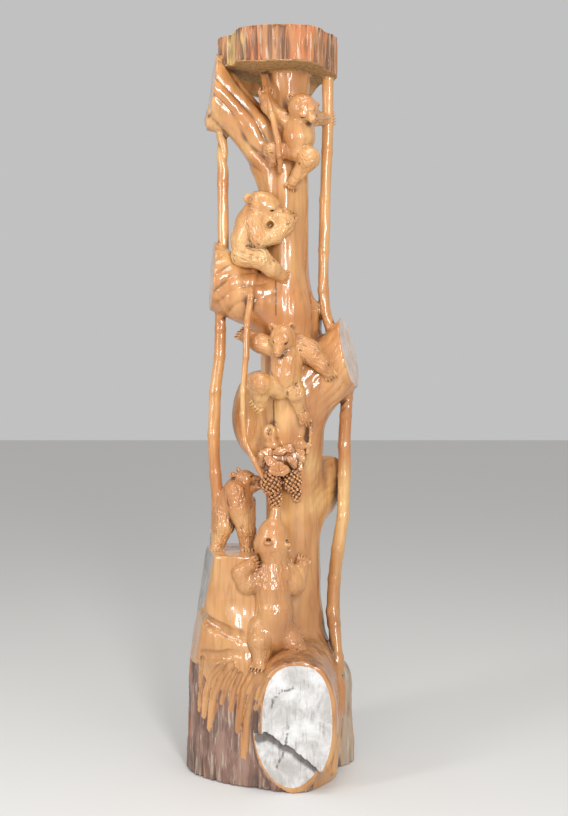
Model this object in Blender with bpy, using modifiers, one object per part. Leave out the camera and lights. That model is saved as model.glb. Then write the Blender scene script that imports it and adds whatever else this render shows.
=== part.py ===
"""Bear column: a tall floor sculpture carved from one log.

The foot and the cap keep the log's bark. Between them stand the trunk, seven sawn branch stubs, six vines,
a bunch of vine leaves with two clusters of grapes, and five bears. All of it is one piece of wood.
Metres, +Z up, the front of the sculpture towards -Y, and x = y = 0 on the middle of the underside.
"""

import math

import bmesh
import bpy
import numpy as np
from mathutils import Matrix, Vector

# Overall
HEIGHT = 2.200
SINK = 0.030  # how far a form runs on into the one that carries it

# Plinth: the bark-sided foot of the log
PLINTH_HEIGHT = 0.330
PLINTH_RADIUS = 0.230
PLINTH_SHOULDER = 0.080  # height over which its top rounds off into the trunk
PLINTH_SLOPE = 0.18  # rise of its top towards the left
PLINTH_LOBES = (  # direction in degrees from +X, extra reach, spread in degrees
    (192, 0.034, 24),
    (288, 0.040, 20),
    (5, 0.024, 14),
    (345, -0.030, 16),
    (95, 0.008, 40),
)

# Big sawn branch on the front of the plinth. Its wood tore off below a sloping line.
FRONT_CUT_WIDTH = 0.216
FRONT_CUT_HEIGHT = 0.366
FRONT_CUT_REACH = 0.276
FRONT_CUT_SIDE = 0.070
FRONT_CUT_RISE = 0.008
TEAR_DEPTH = 0.020
TEAR_SIDE = -0.016  # how far the lower lobe sits to the left
TEAR_SLOPE = math.radians(-31)
TEAR_UP = 0.142

# Carved flutes that run down over the bark: direction in degrees at the top and at the tip, height of the tip
FLUTES = (
    (196, 197, 0.205),
    (214, 206, 0.185),
    (222, 211, 0.150),
    (232, 219, 0.225),
    (240, 228, 0.245),
    (246, 238, 0.232),
    (252, 243, 0.166),
    (260, 250, 0.092),
    (264, 257, 0.205),
)
FLUTE_RADIUS = 0.011

# Ledge: a post on the plinth's left, sawn level on top and upright on its left side
LEDGE_HEIGHT = 0.325  # above the plinth
LEDGE_SIDE = -0.100
LEDGE_OUT = 0.035
LEDGE_WIDTH = 0.304
LEDGE_DEPTH = 0.276
LEDGE_SPREAD = 0.022  # how much wider it is where it stands on the plinth
LEDGE_CUT_SIDE = -0.2105
LEDGE_CUT_FACING = (-1.0, -0.22, 0.176)

# Trunk, as share of the height, sideways place and radius
TRUNK = (
    (0.080, 0.050, 0.150),
    (0.150, 0.058, 0.118),
    (0.180, 0.055, 0.104),
    (0.230, 0.050, 0.096),
    (0.285, 0.062, 0.082),
    (0.365, 0.062, 0.081),
    (0.430, 0.060, 0.091),
    (0.470, 0.061, 0.096),
    (0.510, 0.057, 0.090),
    (0.565, 0.044, 0.084),
    (0.630, 0.040, 0.084),
    (0.680, 0.030, 0.076),
    (0.780, 0.036, 0.070),
    (0.865, 0.035, 0.068),
    (0.925, 0.045, 0.060),
    (0.970, 0.045, 0.066),
)

# Cap: the slice of log that the top is finished with
CAP_THICKNESS = 0.107
CAP_RADIUS = 0.182
CAP_SIDE = 0.013
CAP_LIP = 0.034  # how much lower its back edge hangs
CAP_LOBES = ((209, -0.030, 15), (302, 0.012, 16), (327, -0.012, 10), (90, -0.004, 50))

# Sawn branches: joints from the trunk outwards as side, out, share of the height and radius; then the way
# that the cut looks and a point on the cut as side, out and share of the height
STUBS = {
    "upper left": (((0.038, 0, 0.773, 0.052), (-0.058, 0.004, 0.875, 0.060), (-0.215, 0.010, 0.941, 0.092)),
                   (-1, -0.17, 0.1135), (-0.1864, 0, 0.932)),
    "upper left heel": (((-0.120, 0, 0.893, 0.034), (-0.250, 0, 0.8875, 0.034)),
                        (-1, -0.17, 0.1135), (-0.1864, 0, 0.932)),
    "left": (((0.030, 0, 0.623, 0.085), (-0.240, 0.006, 0.6855, 0.098)),
             (-1, -0.18, 0.07), (-0.187, 0, 0.6745)),
    "right": (((0.070, 0.012, 0.498, 0.088), (0.320, 0.030, 0.607, 0.096)),
              (1, -0.27, 0.24), (0.235, 0, 0.571)),
    "back right": (((0.070, 0, 0.336, 0.066), (0.200, -0.120, 0.400, 0.072)),
                   (0.55, 0.80, 0.2), (0.172, -0.100, 0.386)),
    "flap": (((0.080, -0.020, 0.541, 0.050), (0.134, -0.030, 0.664, 0.030)),
             (0.1, -0.1, 1), (0.134, -0.030, 0.636)),
}

# Short hollow branch at the back left: middle as side, out and share of the height, and its three half axes
HOLLOW_BRANCH = ((-0.040, -0.070, 0.480), (0.088, 0.070, 0.140))
HOLLOW_CUT = ((-0.085, 0.004, 0.477), (0.036, 0.060, 0.105))

# Hollow below the front of the ledge, in the same form
LEDGE_GOUGE = ((-0.185, 0.190, 0.196), (0.110, 0.032, 0.028))

# Swelling on the trunk's front below the right branch
SWELLING = ((0.075, 0.020, 0.518), (0.095, 0.088, 0.150))

# Vines
THICK_VINE_RADIUS = 0.0165
LOW_VINE_RADIUS = 0.0185
THIN_VINE_RADIUS = 0.0095

# Bears, each by its height from heel to nose
FLOOR_BEAR_HEIGHT = 0.460
LEDGE_BEAR_HEIGHT = 0.250
MIDDLE_BEAR_HEIGHT = 0.300
SIDE_BEAR_HEIGHT = 0.280
TOP_BEAR_HEIGHT = 0.290

# Grapes and leaves
BERRY_RADIUS = 0.0095
BUNCH_TURN = math.radians(137.5)
LEAF_LENGTH = 0.062
LEAF_THICKNESS = 0.022

# Mesh
VOXEL = 0.004
TRIANGLES = 9400
FIGURE_REACH = 0.012
FIGURE_WEIGHT = 0.35  # how readily the skin of a bear is thinned out, where plain wood is 1
ROUND_SIDES = 40

# Finish
WOOD_COLOUR = (0.560, 0.270, 0.085, 1.0)
WOOD_ROUGHNESS = 0.28


def trunk_at(height):
    """Sideways place and radius of the trunk at a height in metres."""
    shares, sides, radii = zip(*TRUNK)
    share = height / HEIGHT
    return float(np.interp(share, shares, sides)), float(np.interp(share, shares, radii))


def on_trunk(height, side=0.0, out=0.0):
    """A point in front of the trunk: side from its middle, out from its front face."""
    middle, radius = trunk_at(height)
    return Vector((middle + side, -radius - out, height))


def reach(radius, lobes, angle):
    """Plan radius of a slice of the log in one direction."""
    total = radius
    for direction, extra, spread in lobes:
        away = (math.degrees(angle) - direction + 180) % 360 - 180
        total += extra * math.exp(-((away / spread) ** 2))
    return total


def skin(form, rings):
    """Closes a skin over rings of points that all have the same count."""
    rows = [[form.verts.new(point) for point in ring] for ring in rings]
    count = len(rows[0])
    for low, high in zip(rows, rows[1:]):
        for i in range(count):
            j = (i + 1) % count
            form.faces.new((low[i], low[j], high[j], high[i]))
    form.faces.new(reversed(rows[0]))
    form.faces.new(rows[-1])


def ring(centre, across, up):
    """Points of an ellipse with these two half axes."""
    turns = (2 * math.pi * i / ROUND_SIDES for i in range(ROUND_SIDES))
    return [centre + across * math.cos(turn) + up * math.sin(turn) for turn in turns]


def slice_ring(height, side, radius, lobes, share=1.0):
    """One level outline of the log."""
    turns = (2 * math.pi * i / ROUND_SIDES for i in range(ROUND_SIDES))
    return [
        Vector((
            side + share * reach(radius, lobes, turn) * math.cos(turn),
            share * reach(radius, lobes, turn) * math.sin(turn),
            height,
        ))
        for turn in turns
    ]


def unit_ball():
    """One round ball of radius 1, which every joint and berry is a copy of."""
    form = bmesh.new()
    bmesh.ops.create_uvsphere(form, u_segments=20, v_segments=12, radius=1.0)
    return mesh_from("unit_ball", form)


def ball(form, centre, radius, flat=(1, 1, 1), turn=None):
    scale = Matrix.Diagonal((radius * flat[0], radius * flat[1], radius * flat[2], 1))
    matrix = Matrix.Translation(centre) @ (turn or Matrix.Identity(4)) @ scale
    copy = UNIT_BALL.copy()
    copy.transform(matrix)
    form.from_mesh(copy)
    bpy.data.meshes.remove(copy)


def limb(form, joints):
    """Tapered rods with round joints. A joint is (place, radius)."""
    for place, radius in joints:
        ball(form, place, radius)
    for (start, start_radius), (end, end_radius) in zip(joints, joints[1:]):
        along = end - start
        turn = along.to_track_quat("Z", "Y").to_matrix().to_4x4()
        bmesh.ops.create_cone(
            form,
            cap_ends=True,
            segments=20,
            radius1=start_radius,
            radius2=end_radius,
            depth=along.length,
            matrix=Matrix.Translation((start + end) / 2) @ turn,
        )


def oval_ball(form, place, radii):
    """An ellipsoid at a side, out and share of the height."""
    side, out, share = place
    ball(form, Vector((side, -out, share * HEIGHT)), radii[2], (radii[0] / radii[2], radii[1] / radii[2], 1))


def plinth(form):
    """The log's foot, rounding off into the trunk above its shoulder."""
    levels = (  # height, share of the full outline, share of the slope
        (-SINK, 1.0, 0.0),
        (0.5 * PLINTH_HEIGHT, 0.985, 0.0),
        (PLINTH_HEIGHT - PLINTH_SHOULDER, 0.965, 0.3),
        (PLINTH_HEIGHT - 0.2 * PLINTH_SHOULDER, 0.88, 0.8),
        (PLINTH_HEIGHT + 0.2 * PLINTH_SHOULDER, 0.66, 1.0),
    )
    rings = []
    for height, share, slope in levels:
        level = slice_ring(height, 0, PLINTH_RADIUS, PLINTH_LOBES, share)
        rings.append([point - Vector((0, 0, slope * PLINTH_SLOPE * point.x)) for point in level])
    skin(form, rings)


def front_branch(form):
    """The branch that was sawn off at the front of the plinth: the cut face, and its torn lower lobe."""
    height = FRONT_CUT_RISE + FRONT_CUT_HEIGHT / 2
    lobes = ((FRONT_CUT_SIDE, FRONT_CUT_REACH), (FRONT_CUT_SIDE + TEAR_SIDE, FRONT_CUT_REACH - TEAR_DEPTH))
    for side, reach_out in lobes:
        across = Vector((FRONT_CUT_WIDTH / 2, 0, 0))
        up = Vector((0, 0, FRONT_CUT_HEIGHT / 2))
        rings = [
            ring(Vector((side - SINK, 0, height)), across * 1.1, up * 0.95),
            ring(Vector((side, SINK - reach_out, height)), across * 1.04, up * 1.01),
            ring(Vector((side, -reach_out, height)), across, up),
        ]
        skin(form, rings)


def flutes(form):
    """Rounded ridges between the gouge cuts that run down over the bark."""
    for top_degrees, tip_degrees, tip_height in FLUTES:
        joints = []
        for share in (0.0, 0.35, 0.7, 1.0):
            angle = math.radians(top_degrees + (tip_degrees - top_degrees) * share)
            height = PLINTH_HEIGHT + (tip_height - PLINTH_HEIGHT) * share
            out = reach(PLINTH_RADIUS, PLINTH_LOBES, angle) * (0.86 + 0.11 * min(1.0, 2.2 * share))
            place = Vector((out * math.cos(angle), out * math.sin(angle), height))
            joints.append((place, FLUTE_RADIUS * (1 - 0.2 * share)))
        limb(form, joints)


def ledge(form):
    """The post that the ledge bear stands on."""
    facing = Vector(LEDGE_CUT_FACING)
    flat = Vector((facing.x, facing.y, 0))
    cut_place = Vector((LEDGE_CUT_SIDE, 0, PLINTH_HEIGHT + 0.75 * LEDGE_HEIGHT))
    rings = []
    for share, spread in ((-0.25, 1.0), (0.0, 1.0), (0.38, 0.0), (1.0, 0.0)):
        centre = Vector((LEDGE_SIDE, -LEDGE_OUT, PLINTH_HEIGHT + share * LEDGE_HEIGHT))
        across = Vector((LEDGE_WIDTH / 2 + spread * LEDGE_SPREAD, 0, 0))
        along = Vector((0, LEDGE_DEPTH / 2 + spread * LEDGE_SPREAD, 0))
        level = []
        for point in ring(centre, across, along):
            beyond = max(0.0, (point - cut_place).dot(facing))
            level.append(point - flat * (beyond / flat.length_squared))
        rings.append(level)
    skin(form, rings)


def trunk(form):
    rings = []
    for share, side, radius in TRUNK:
        centre = Vector((side, 0, share * HEIGHT))
        rings.append(ring(centre, Vector((radius, 0, 0)), Vector((0, radius, 0))))
    skin(form, rings)
    oval_ball(form, *SWELLING)


def cap(form):
    """The level slice of log on top. Its underside rises to the left and hangs lower at the back."""
    bottom = HEIGHT - CAP_THICKNESS
    levels = ((bottom, 0.985), (bottom + 0.12 * CAP_THICKNESS, 1.0), (HEIGHT + SINK, 1.0))
    skin(form, [slice_ring(z, CAP_SIDE, CAP_RADIUS, CAP_LOBES, share) for z, share in levels])
    lip = Vector((CAP_SIDE, 0.68 * CAP_RADIUS, bottom - 0.1 * CAP_LIP))
    ball(form, lip, CAP_LIP, (3.0, 1.35, 1.0))


def sawn_limb(joints, facing, place):
    """One branch, cut off flat by the plane through place that looks along facing."""
    form = bmesh.new()
    limb(form, [(Vector((side, -out, share * HEIGHT)), radius) for side, out, share, radius in joints])
    side, out, share = place
    cut = bmesh.ops.bisect_plane(
        form,
        geom=form.verts[:] + form.edges[:] + form.faces[:],
        plane_co=Vector((side, -out, share * HEIGHT)),
        plane_no=Vector(facing),
        clear_outer=True,
    )
    edges = [part for part in cut["geom_cut"] if isinstance(part, bmesh.types.BMEdge)]
    bmesh.ops.edgeloop_fill(form, edges=edges)
    return mesh_from("branch", form)


def stubs(form):
    for joints, facing, place in STUBS.values():
        branch = sawn_limb(joints, facing, place)
        form.from_mesh(branch)
        bpy.data.meshes.remove(branch)
    oval_ball(form, *HOLLOW_BRANCH)


def on_stub(named, side):
    """Height of a stub's middle line at a sideways place, where a vine starts or ends."""
    joints = STUBS[named][0]
    start, end = joints[-2], joints[-1]
    share = (side - start[0]) / (end[0] - start[0])
    return (start[2] + share * (end[2] - start[2])) * HEIGHT


def vine(form, points, radius, tip_radius=None):
    tip_radius = tip_radius or radius
    last = len(points) - 1
    limb(form, [(Vector(p), radius + (tip_radius - radius) * i / last) for i, p in enumerate(points)])


def vines(form):
    """Four thick vines between the stubs, the foot and the cap, and two thin ones in front of the trunk."""
    under_cap = HEIGHT - CAP_THICKNESS
    vine(
        form,
        [
            (-0.156, 0, on_stub("upper left", -0.156)),
            (-0.153, 0, 0.80 * HEIGHT),
            (-0.150, 0, on_stub("left", -0.150)),
        ],
        THICK_VINE_RADIUS,
    )
    vine(
        form,
        [
            (0.167, 0, under_cap + SINK),
            (0.164, 0, 0.846 * HEIGHT),
            (0.156, 0, 0.760 * HEIGHT),
            (0.152, 0, 0.655 * HEIGHT),
            (0.158, 0, 0.624 * HEIGHT),
            (0.184, -0.010, on_stub("right", 0.184)),
        ],
        THICK_VINE_RADIUS,
    )
    vine(
        form,
        [
            (-0.160, 0, on_stub("left", -0.160)),
            (-0.162, 0, 0.568 * HEIGHT),
            (-0.178, 0, 0.510 * HEIGHT),
            (-0.180, 0, 0.450 * HEIGHT),
            (-0.171, 0, 0.380 * HEIGHT),
            (-0.176, -0.010, PLINTH_HEIGHT + 0.85 * LEDGE_HEIGHT),
        ],
        LOW_VINE_RADIUS,
    )
    vine(
        form,
        [
            (0.228, -0.010, on_stub("right", 0.228)),
            (0.219, 0, 0.475 * HEIGHT),
            (0.216, 0, 0.400 * HEIGHT),
            (0.213, 0, 0.345 * HEIGHT),
            (0.194, 0, 0.290 * HEIGHT),
            (0.183, -0.010, 0.215 * HEIGHT),
            (0.192, -0.062, PLINTH_HEIGHT),
            (0.196, -0.124, 0.58 * PLINTH_HEIGHT),
        ],
        LOW_VINE_RADIUS,
    )
    vine(
        form,
        [
            (-0.034, -0.035, under_cap + SINK),
            (-0.021, -0.085, 0.922 * HEIGHT),
            (-0.002, -0.120, 0.885 * HEIGHT),
            (0.015, -0.135, 0.850 * HEIGHT),
            (0.024, -0.085, 0.805 * HEIGHT),
        ],
        THIN_VINE_RADIUS,
    )
    vine(
        form,
        [
            (-0.055, -0.060, 0.680 * HEIGHT),
            (-0.066, -0.095, 0.644 * HEIGHT),
            (-0.076, -0.115, 0.604 * HEIGHT),
            (-0.079, -0.120, 0.561 * HEIGHT),
            (-0.088, -0.115, 0.515 * HEIGHT),
            (-0.089, -0.110, 0.484 * HEIGHT),
            (-0.082, -0.110, 0.449 * HEIGHT),
            (-0.055, -0.110, 0.422 * HEIGHT),
            (-0.030, -0.105, 0.400 * HEIGHT),
        ],
        THIN_VINE_RADIUS,
        0.75 * THIN_VINE_RADIUS,
    )


# Bears. Each chain of joints is in shares of the bear's height from its hips: side, out, up and radius.
FLOOR_BEAR = {
    "body": ((0.02, 0, 0, 0.116), (0.03, 0.01, 0.14, 0.112), (0.02, 0, 0.30, 0.108),
             (0.02, -0.01, 0.40, 0.095),
             (0.02, -0.02, 0.48, 0.082), (0.013, -0.01, 0.575, 0.104), (0.02, -0.01, 0.655, 0.086)),
    "left arm": ((-0.06, -0.01, 0.40, 0.072), (-0.14, 0.01, 0.335, 0.068), (-0.155, 0, 0.40, 0.052),
                 (-0.095, 0.01, 0.465, 0.043)),
    "right arm": ((0.10, -0.01, 0.40, 0.072), (0.155, -0.02, 0.325, 0.070), (0.185, -0.05, 0.38, 0.052),
                  (0.21, -0.08, 0.43, 0.042)),
    "left leg": ((-0.06, 0.03, 0.05, 0.084), (-0.06, 0.08, -0.02, 0.070), (-0.05, 0.09, -0.09, 0.054),
                 (-0.06, 0.12, -0.15, 0.046)),
    "right leg": ((0.11, 0.01, 0.02, 0.072), (0.15, 0.04, -0.04, 0.060), (0.195, 0.05, -0.10, 0.046),
                  (0.20, 0.09, -0.15, 0.042)),
}
FLOOR_FACE = dict(skull=(0.02, -0.01, 0.61), nose=(0.042, -0.005, 0.81), size=0.090, snout=1.25,
                  ears=((-0.006, 0.090, 0.600), (0.106, 0.040, 0.585)), ear_size=0.030)

LEDGE_BEAR = {
    "body": ((-0.01, 0, -0.03, 0.140), (0.08, 0, 0.08, 0.185), (0.13, 0, 0.17, 0.200),
             (0.18, 0.01, 0.31, 0.155), (0.21, 0.03, 0.38, 0.105)),
    "near arm": ((0.13, 0.13, 0.27, 0.135), (0.17, 0.15, 0.06, 0.125), (0.25, 0.15, -0.20, 0.098),
                 (0.27, 0.16, -0.40, 0.078)),
    "far leg": ((0.28, -0.08, 0.12, 0.092), (0.30, -0.08, -0.22, 0.075), (0.30, -0.06, -0.42, 0.064)),
    "reaching arm": ((0.25, -0.04, 0.28, 0.085), (0.33, 0.02, 0.30, 0.064), (0.40, 0.08, 0.33, 0.054)),
    "near leg": ((-0.03, 0.05, 0.00, 0.118), (-0.01, 0.09, -0.16, 0.120), (-0.06, 0.09, -0.31, 0.088),
                 (-0.09, 0.12, -0.42, 0.074)),
}
LEDGE_FACE = dict(skull=(0.245, 0.05, 0.425), nose=(0.435, 0.10, 0.415), size=0.100, snout=1.1,
                  ears=((0.095, 0.10, 0.465), (0.165, -0.03, 0.510)), ear_size=0.038)

MIDDLE_BEAR = {
    "body": ((0, 0, 0, 0.115), (0.05, 0.03, 0.12, 0.145), (0.07, 0.03, 0.27, 0.150), (0.06, 0, 0.38, 0.145),
             (0.05, 0.03, 0.45, 0.116)),
    "left arm": ((-0.07, -0.02, 0.40, 0.100), (-0.20, -0.08, 0.44, 0.095), (-0.30, -0.13, 0.49, 0.082),
                 (-0.37, -0.14, 0.51, 0.070)),
    "right arm": ((0.18, -0.01, 0.42, 0.120), (0.31, 0.02, 0.34, 0.112), (0.41, 0.03, 0.23, 0.084),
                  (0.47, 0.03, 0.16, 0.062)),
    "left leg": ((-0.06, 0.00, 0.02, 0.112), (-0.20, 0.10, 0.04, 0.108), (-0.19, 0.04, -0.08, 0.074),
                 (-0.19, 0, -0.14, 0.066)),
    "right leg": ((0.13, 0.03, -0.01, 0.104), (0.16, 0.09, -0.06, 0.084), (0.20, 0.03, -0.20, 0.060),
                  (0.24, 0.03, -0.29, 0.056)),
}
MIDDLE_FACE = dict(skull=(0.026, 0.10, 0.50), nose=(-0.038, 0.26, 0.32), size=0.124, snout=1.25,
                   ears=((-0.075, 0.09, 0.595), (0.105, 0.09, 0.595)), ear_size=0.046)

SIDE_BEAR = {
    "body": ((0, 0, 0, 0.139), (0.01, 0.04, 0.16, 0.172), (0.06, 0.07, 0.33, 0.170),
             (0.11, 0.09, 0.45, 0.145)),
    "near arm": ((0.10, 0.17, 0.35, 0.120), (0.15, 0.23, 0.14, 0.090), (0.31, 0.20, 0.19, 0.084),
                 (0.42, 0.15, 0.29, 0.086), (0.44, 0.14, 0.36, 0.078)),
    "far arm": ((0.22, 0.07, 0.40, 0.100), (0.34, 0.07, 0.38, 0.075)),
    "leg": ((-0.03, 0.11, -0.01, 0.130), (0.15, 0.21, -0.05, 0.110), (0.28, 0.18, -0.16, 0.086),
            (0.38, 0.12, -0.23, 0.064)),
}
SIDE_FACE = dict(skull=(0.165, 0.12, 0.54), nose=(0.355, 0.17, 0.44), size=0.142, snout=1.15,
                 ears=((0.035, 0.26, 0.575), (0.165, 0.05, 0.685)), ear_size=0.054)

TOP_BEAR = {
    "body": ((0, 0, 0, 0.122), (0.02, 0.02, 0.12, 0.155), (0.02, 0, 0.22, 0.145),
             (0.04, 0.02, 0.32, 0.120)),
    "left arm": ((-0.10, -0.02, 0.30, 0.095), (-0.20, -0.05, 0.36, 0.084), (-0.29, -0.06, 0.46, 0.076),
                 (-0.32, -0.07, 0.54, 0.070)),
    "right arm": ((0.14, -0.05, 0.33, 0.090), (0.21, -0.20, 0.36, 0.074), (0.30, -0.33, 0.37, 0.066)),
    "left leg": ((-0.08, -0.02, 0, 0.094), (-0.17, 0.03, -0.02, 0.082), (-0.26, 0.02, -0.01, 0.078),
                 (-0.23, 0, -0.09, 0.060)),
    "right leg": ((0.06, 0.02, -0.03, 0.106), (0.12, 0.08, -0.10, 0.112), (0.03, 0.00, -0.23, 0.072),
                  (-0.04, -0.04, -0.32, 0.060)),
}
TOP_FACE = dict(skull=(0.053, 0.09, 0.41), nose=(0.17, 0.18, 0.26), size=0.144, snout=1.1,
                ears=((-0.060, 0.10, 0.515), (0.19, 0.06, 0.44)), ear_size=0.040)


def head_chains(skull, nose, size, snout, ears, ear_size):
    """Skull, muzzle and ears as chains of joints in shares of the bear's height."""
    skull, nose = Vector(skull), Vector(nose)
    ahead = (nose - skull).normalized()
    bridge = skull + 0.6 * size * ahead
    tip = nose - 0.25 * snout * size * ahead
    chains = [((*skull, size), (*bridge, 0.52 * snout * size), (*tip, 0.32 * snout * size))]
    chains += [((*place, 0.85 * ear_size),) for place in ears]
    return chains


def place_bears():
    """Each bear as its hips, its height, its pose and its face."""
    floor_up = PLINTH_HEIGHT + 0.20 * FLOOR_BEAR_HEIGHT
    ledge_up = PLINTH_HEIGHT + LEDGE_HEIGHT + 0.436 * LEDGE_BEAR_HEIGHT
    ledge_place = Vector((1.46 * LEDGE_SIDE, -0.28 * LEDGE_OUT, ledge_up))
    return (
        (on_trunk(floor_up, -0.063, 0.10 * FLOOR_BEAR_HEIGHT), FLOOR_BEAR_HEIGHT, FLOOR_BEAR, FLOOR_FACE),
        (ledge_place, LEDGE_BEAR_HEIGHT, LEDGE_BEAR, LEDGE_FACE),
        (
            on_trunk(0.520 * HEIGHT, -0.032, 0.08 * MIDDLE_BEAR_HEIGHT),
            MIDDLE_BEAR_HEIGHT, MIDDLE_BEAR, MIDDLE_FACE,
        ),
        (on_trunk(0.700 * HEIGHT, -0.111, -0.08 * SIDE_BEAR_HEIGHT), SIDE_BEAR_HEIGHT, SIDE_BEAR, SIDE_FACE),
        (on_trunk(0.840 * HEIGHT, 0.036, 0.12 * TOP_BEAR_HEIGHT), TOP_BEAR_HEIGHT, TOP_BEAR, TOP_FACE),
    )


def bear_joints(hips, height, pose, face):
    """A bear's chains as lists of (place, radius) in metres."""
    chains = []
    for chain in list(pose.values()) + head_chains(**face):
        chains.append([
            (hips + Vector((side, -out, up)) * height, radius * height) for side, out, up, radius in chain
        ])
    return chains


def rock(form):
    """The rise of the plinth's top that the floor bear stands on."""
    top = PLINTH_HEIGHT
    ball(form, Vector((-0.060, -0.110, top - 0.030)), 0.100, (1.15, 1.0, 0.62))
    ball(form, Vector((0.060, -0.130, top - 0.040)), 0.095, (1.1, 0.95, 0.62))


def leaf(form, place, length, turn_degrees, lean=0.0):
    """One vine leaf: three flattened lobes that spread from its stalk."""
    face = Matrix.Rotation(math.radians(90) + lean, 4, "X")
    for spread, share in ((-50, 0.72), (0, 1.0), (50, 0.72)):
        angle = math.radians(turn_degrees + spread)
        away = Vector((math.sin(angle), 0, math.cos(angle))) * length * 0.28 * share
        lobe_turn = Matrix.Rotation(angle, 4, "Y") @ face
        flat = (0.26 * share, 0.42 * share, LEAF_THICKNESS / length / 2)
        ball(form, place + away, length, flat, lobe_turn)


def leaves(form):
    """The bunch of leaves over the grapes, as height share, side, out, size and turn."""
    bunch = (
        (0.427, -0.088, 0.016, 1.15, -60),
        (0.434, -0.046, 0.010, 0.80, -10),
        (0.438, -0.012, 0.008, 0.75, 25),
        (0.415, -0.040, 0.036, 0.95, 185),
        (0.421, 0.004, 0.020, 0.80, 120),
        (0.420, 0.028, 0.010, 0.75, 95),
    )
    for share, side, out, size, turn in bunch:
        leaf(form, on_trunk(share * HEIGHT, side, out), size * LEAF_LENGTH, turn)


def grapes(form, top, length, width):
    """One hanging bunch: a tapered core with berries wound round it."""
    low = top - Vector((0, 0, length))
    limb(form, [(top, 0.38 * width), (top.lerp(low, 0.45), 0.30 * width), (low, 0.10 * width)])
    count = int(1.1 * length * width / BERRY_RADIUS ** 2 / 2)
    for i in range(count):
        share = (i + 0.5) / count
        round_by = (0.42 - 0.30 * share) * width
        angle = i * BUNCH_TURN
        place = top.lerp(low, share) + Vector((math.cos(angle), -abs(math.sin(angle)) * 0.8, 0)) * round_by
        ball(form, place, BERRY_RADIUS)


def bunches(form):
    grapes(form, on_trunk(0.400 * HEIGHT, -0.067, 0.022), 0.100, 0.058)
    grapes(form, on_trunk(0.403 * HEIGHT, -0.010, 0.018), 0.095, 0.054)


def mesh_from(name, form):
    mesh = bpy.data.meshes.new(name)
    bmesh.ops.recalc_face_normals(form, faces=form.faces[:])
    form.to_mesh(mesh)
    form.free()
    return mesh


def block(name, centre, size, turn=0.0):
    """A helper that cuts with the Boolean modifier and isn't part of the sculpture."""
    form = bmesh.new()
    bmesh.ops.create_cube(form, size=1.0)
    cutter = bpy.data.objects.new(name, mesh_from(name, form))
    CUTTERS.objects.link(cutter)
    cutter.location = centre
    cutter.rotation_euler = (0, turn, 0)
    cutter.scale = size
    cutter.display_type = "WIRE"
    cutter.hide_render = True
    return cutter


def gouge(name, place, radii):
    """A round hollow, as a cutter for the Boolean modifier."""
    form = bmesh.new()
    oval_ball(form, place, radii)
    cutter = bpy.data.objects.new(name, mesh_from(name, form))
    CUTTERS.objects.link(cutter)
    cutter.display_type = "WIRE"
    cutter.hide_render = True
    return cutter


def cut_away(target, cutter):
    modifier = target.modifiers.new(cutter.name, "BOOLEAN")
    modifier.operation = "DIFFERENCE"
    modifier.solver = "EXACT"
    modifier.object = cutter


def applied(target):
    """Replaces an object's mesh with what its modifiers make of it."""
    graph = bpy.context.evaluated_depsgraph_get()
    mesh = bpy.data.meshes.new_from_object(target.evaluated_get(graph))
    target.modifiers.clear()
    target.data = mesh


def keep_largest_shell(target):
    """Drops the closed pockets that are left inside where forms lean on each other."""
    form = bmesh.new()
    form.from_mesh(target.data)
    form.verts.ensure_lookup_table()
    shell_of = np.full(len(form.verts), -1)
    shells = []
    for start in form.verts:
        if shell_of[start.index] >= 0:
            continue
        shell_of[start.index] = len(shells)
        stack, found = [start], [start]
        while stack:
            for edge in stack.pop().link_edges:
                for vert in edge.verts:
                    if shell_of[vert.index] < 0:
                        shell_of[vert.index] = len(shells)
                        stack.append(vert)
                        found.append(vert)
        shells.append(found)
    kept = set(max(shells, key=len))
    pockets = [vert for vert in form.verts if vert not in kept]
    bmesh.ops.delete(form, geom=pockets, context="VERTS")
    form.to_mesh(target.data)
    form.free()


def mark_figures(target, joints):
    """Weights for thinning out: the skin of the bears keeps more of its triangles than plain wood."""
    points = np.empty(len(target.data.vertices) * 3)
    target.data.vertices.foreach_get("co", points)
    points = points.reshape(-1, 3)
    near = np.zeros(len(points), bool)
    for place, radius in joints:
        apart = points - np.array(place)
        near |= (apart * apart).sum(axis=1) < (radius + FIGURE_REACH) ** 2
    group = target.vertex_groups.new(name="plain")
    group.add(np.nonzero(~near)[0].tolist(), 1.0, "REPLACE")
    group.add(np.nonzero(near)[0].tolist(), FIGURE_WEIGHT, "REPLACE")
    return group


def thin_out(target, joints):
    """Fewer, larger triangles, with most of them kept on the bears and the grapes."""
    smooth = target.modifiers.new("Smooth", "SMOOTH")
    smooth.factor = 0.5
    smooth.iterations = 2
    applied(target)
    group = mark_figures(target, joints)
    thin = target.modifiers.new("Thin out", "DECIMATE")
    thin.ratio = TRIANGLES / (2.0 * len(target.data.polygons))
    thin.use_collapse_triangulate = True
    thin.vertex_group = group.name
    thin.vertex_group_factor = 1.0
    applied(target)


def varnished_wood():
    material = bpy.data.materials.new("varnished_wood")
    material.use_nodes = True
    surface = material.node_tree.nodes["Principled BSDF"]
    surface.inputs["Base Color"].default_value = WOOD_COLOUR
    surface.inputs["Roughness"].default_value = WOOD_ROUGHNESS
    surface.inputs["Metallic"].default_value = 0.0
    material.diffuse_color = WOOD_COLOUR
    return material


def all_forms():
    """One closed mesh for each form of the sculpture, and the joints of all bears."""
    meshes = []
    for make in (plinth, front_branch, flutes, ledge, rock, trunk, cap, stubs, vines, leaves, bunches):
        form = bmesh.new()
        make(form)
        meshes.append(mesh_from(make.__name__, form))
    joints = []
    for placed in place_bears():
        form = bmesh.new()
        for chain in bear_joints(*placed):
            limb(form, chain)
            joints.extend(chain)
        meshes.append(mesh_from("bear", form))
    return meshes, joints


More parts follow.
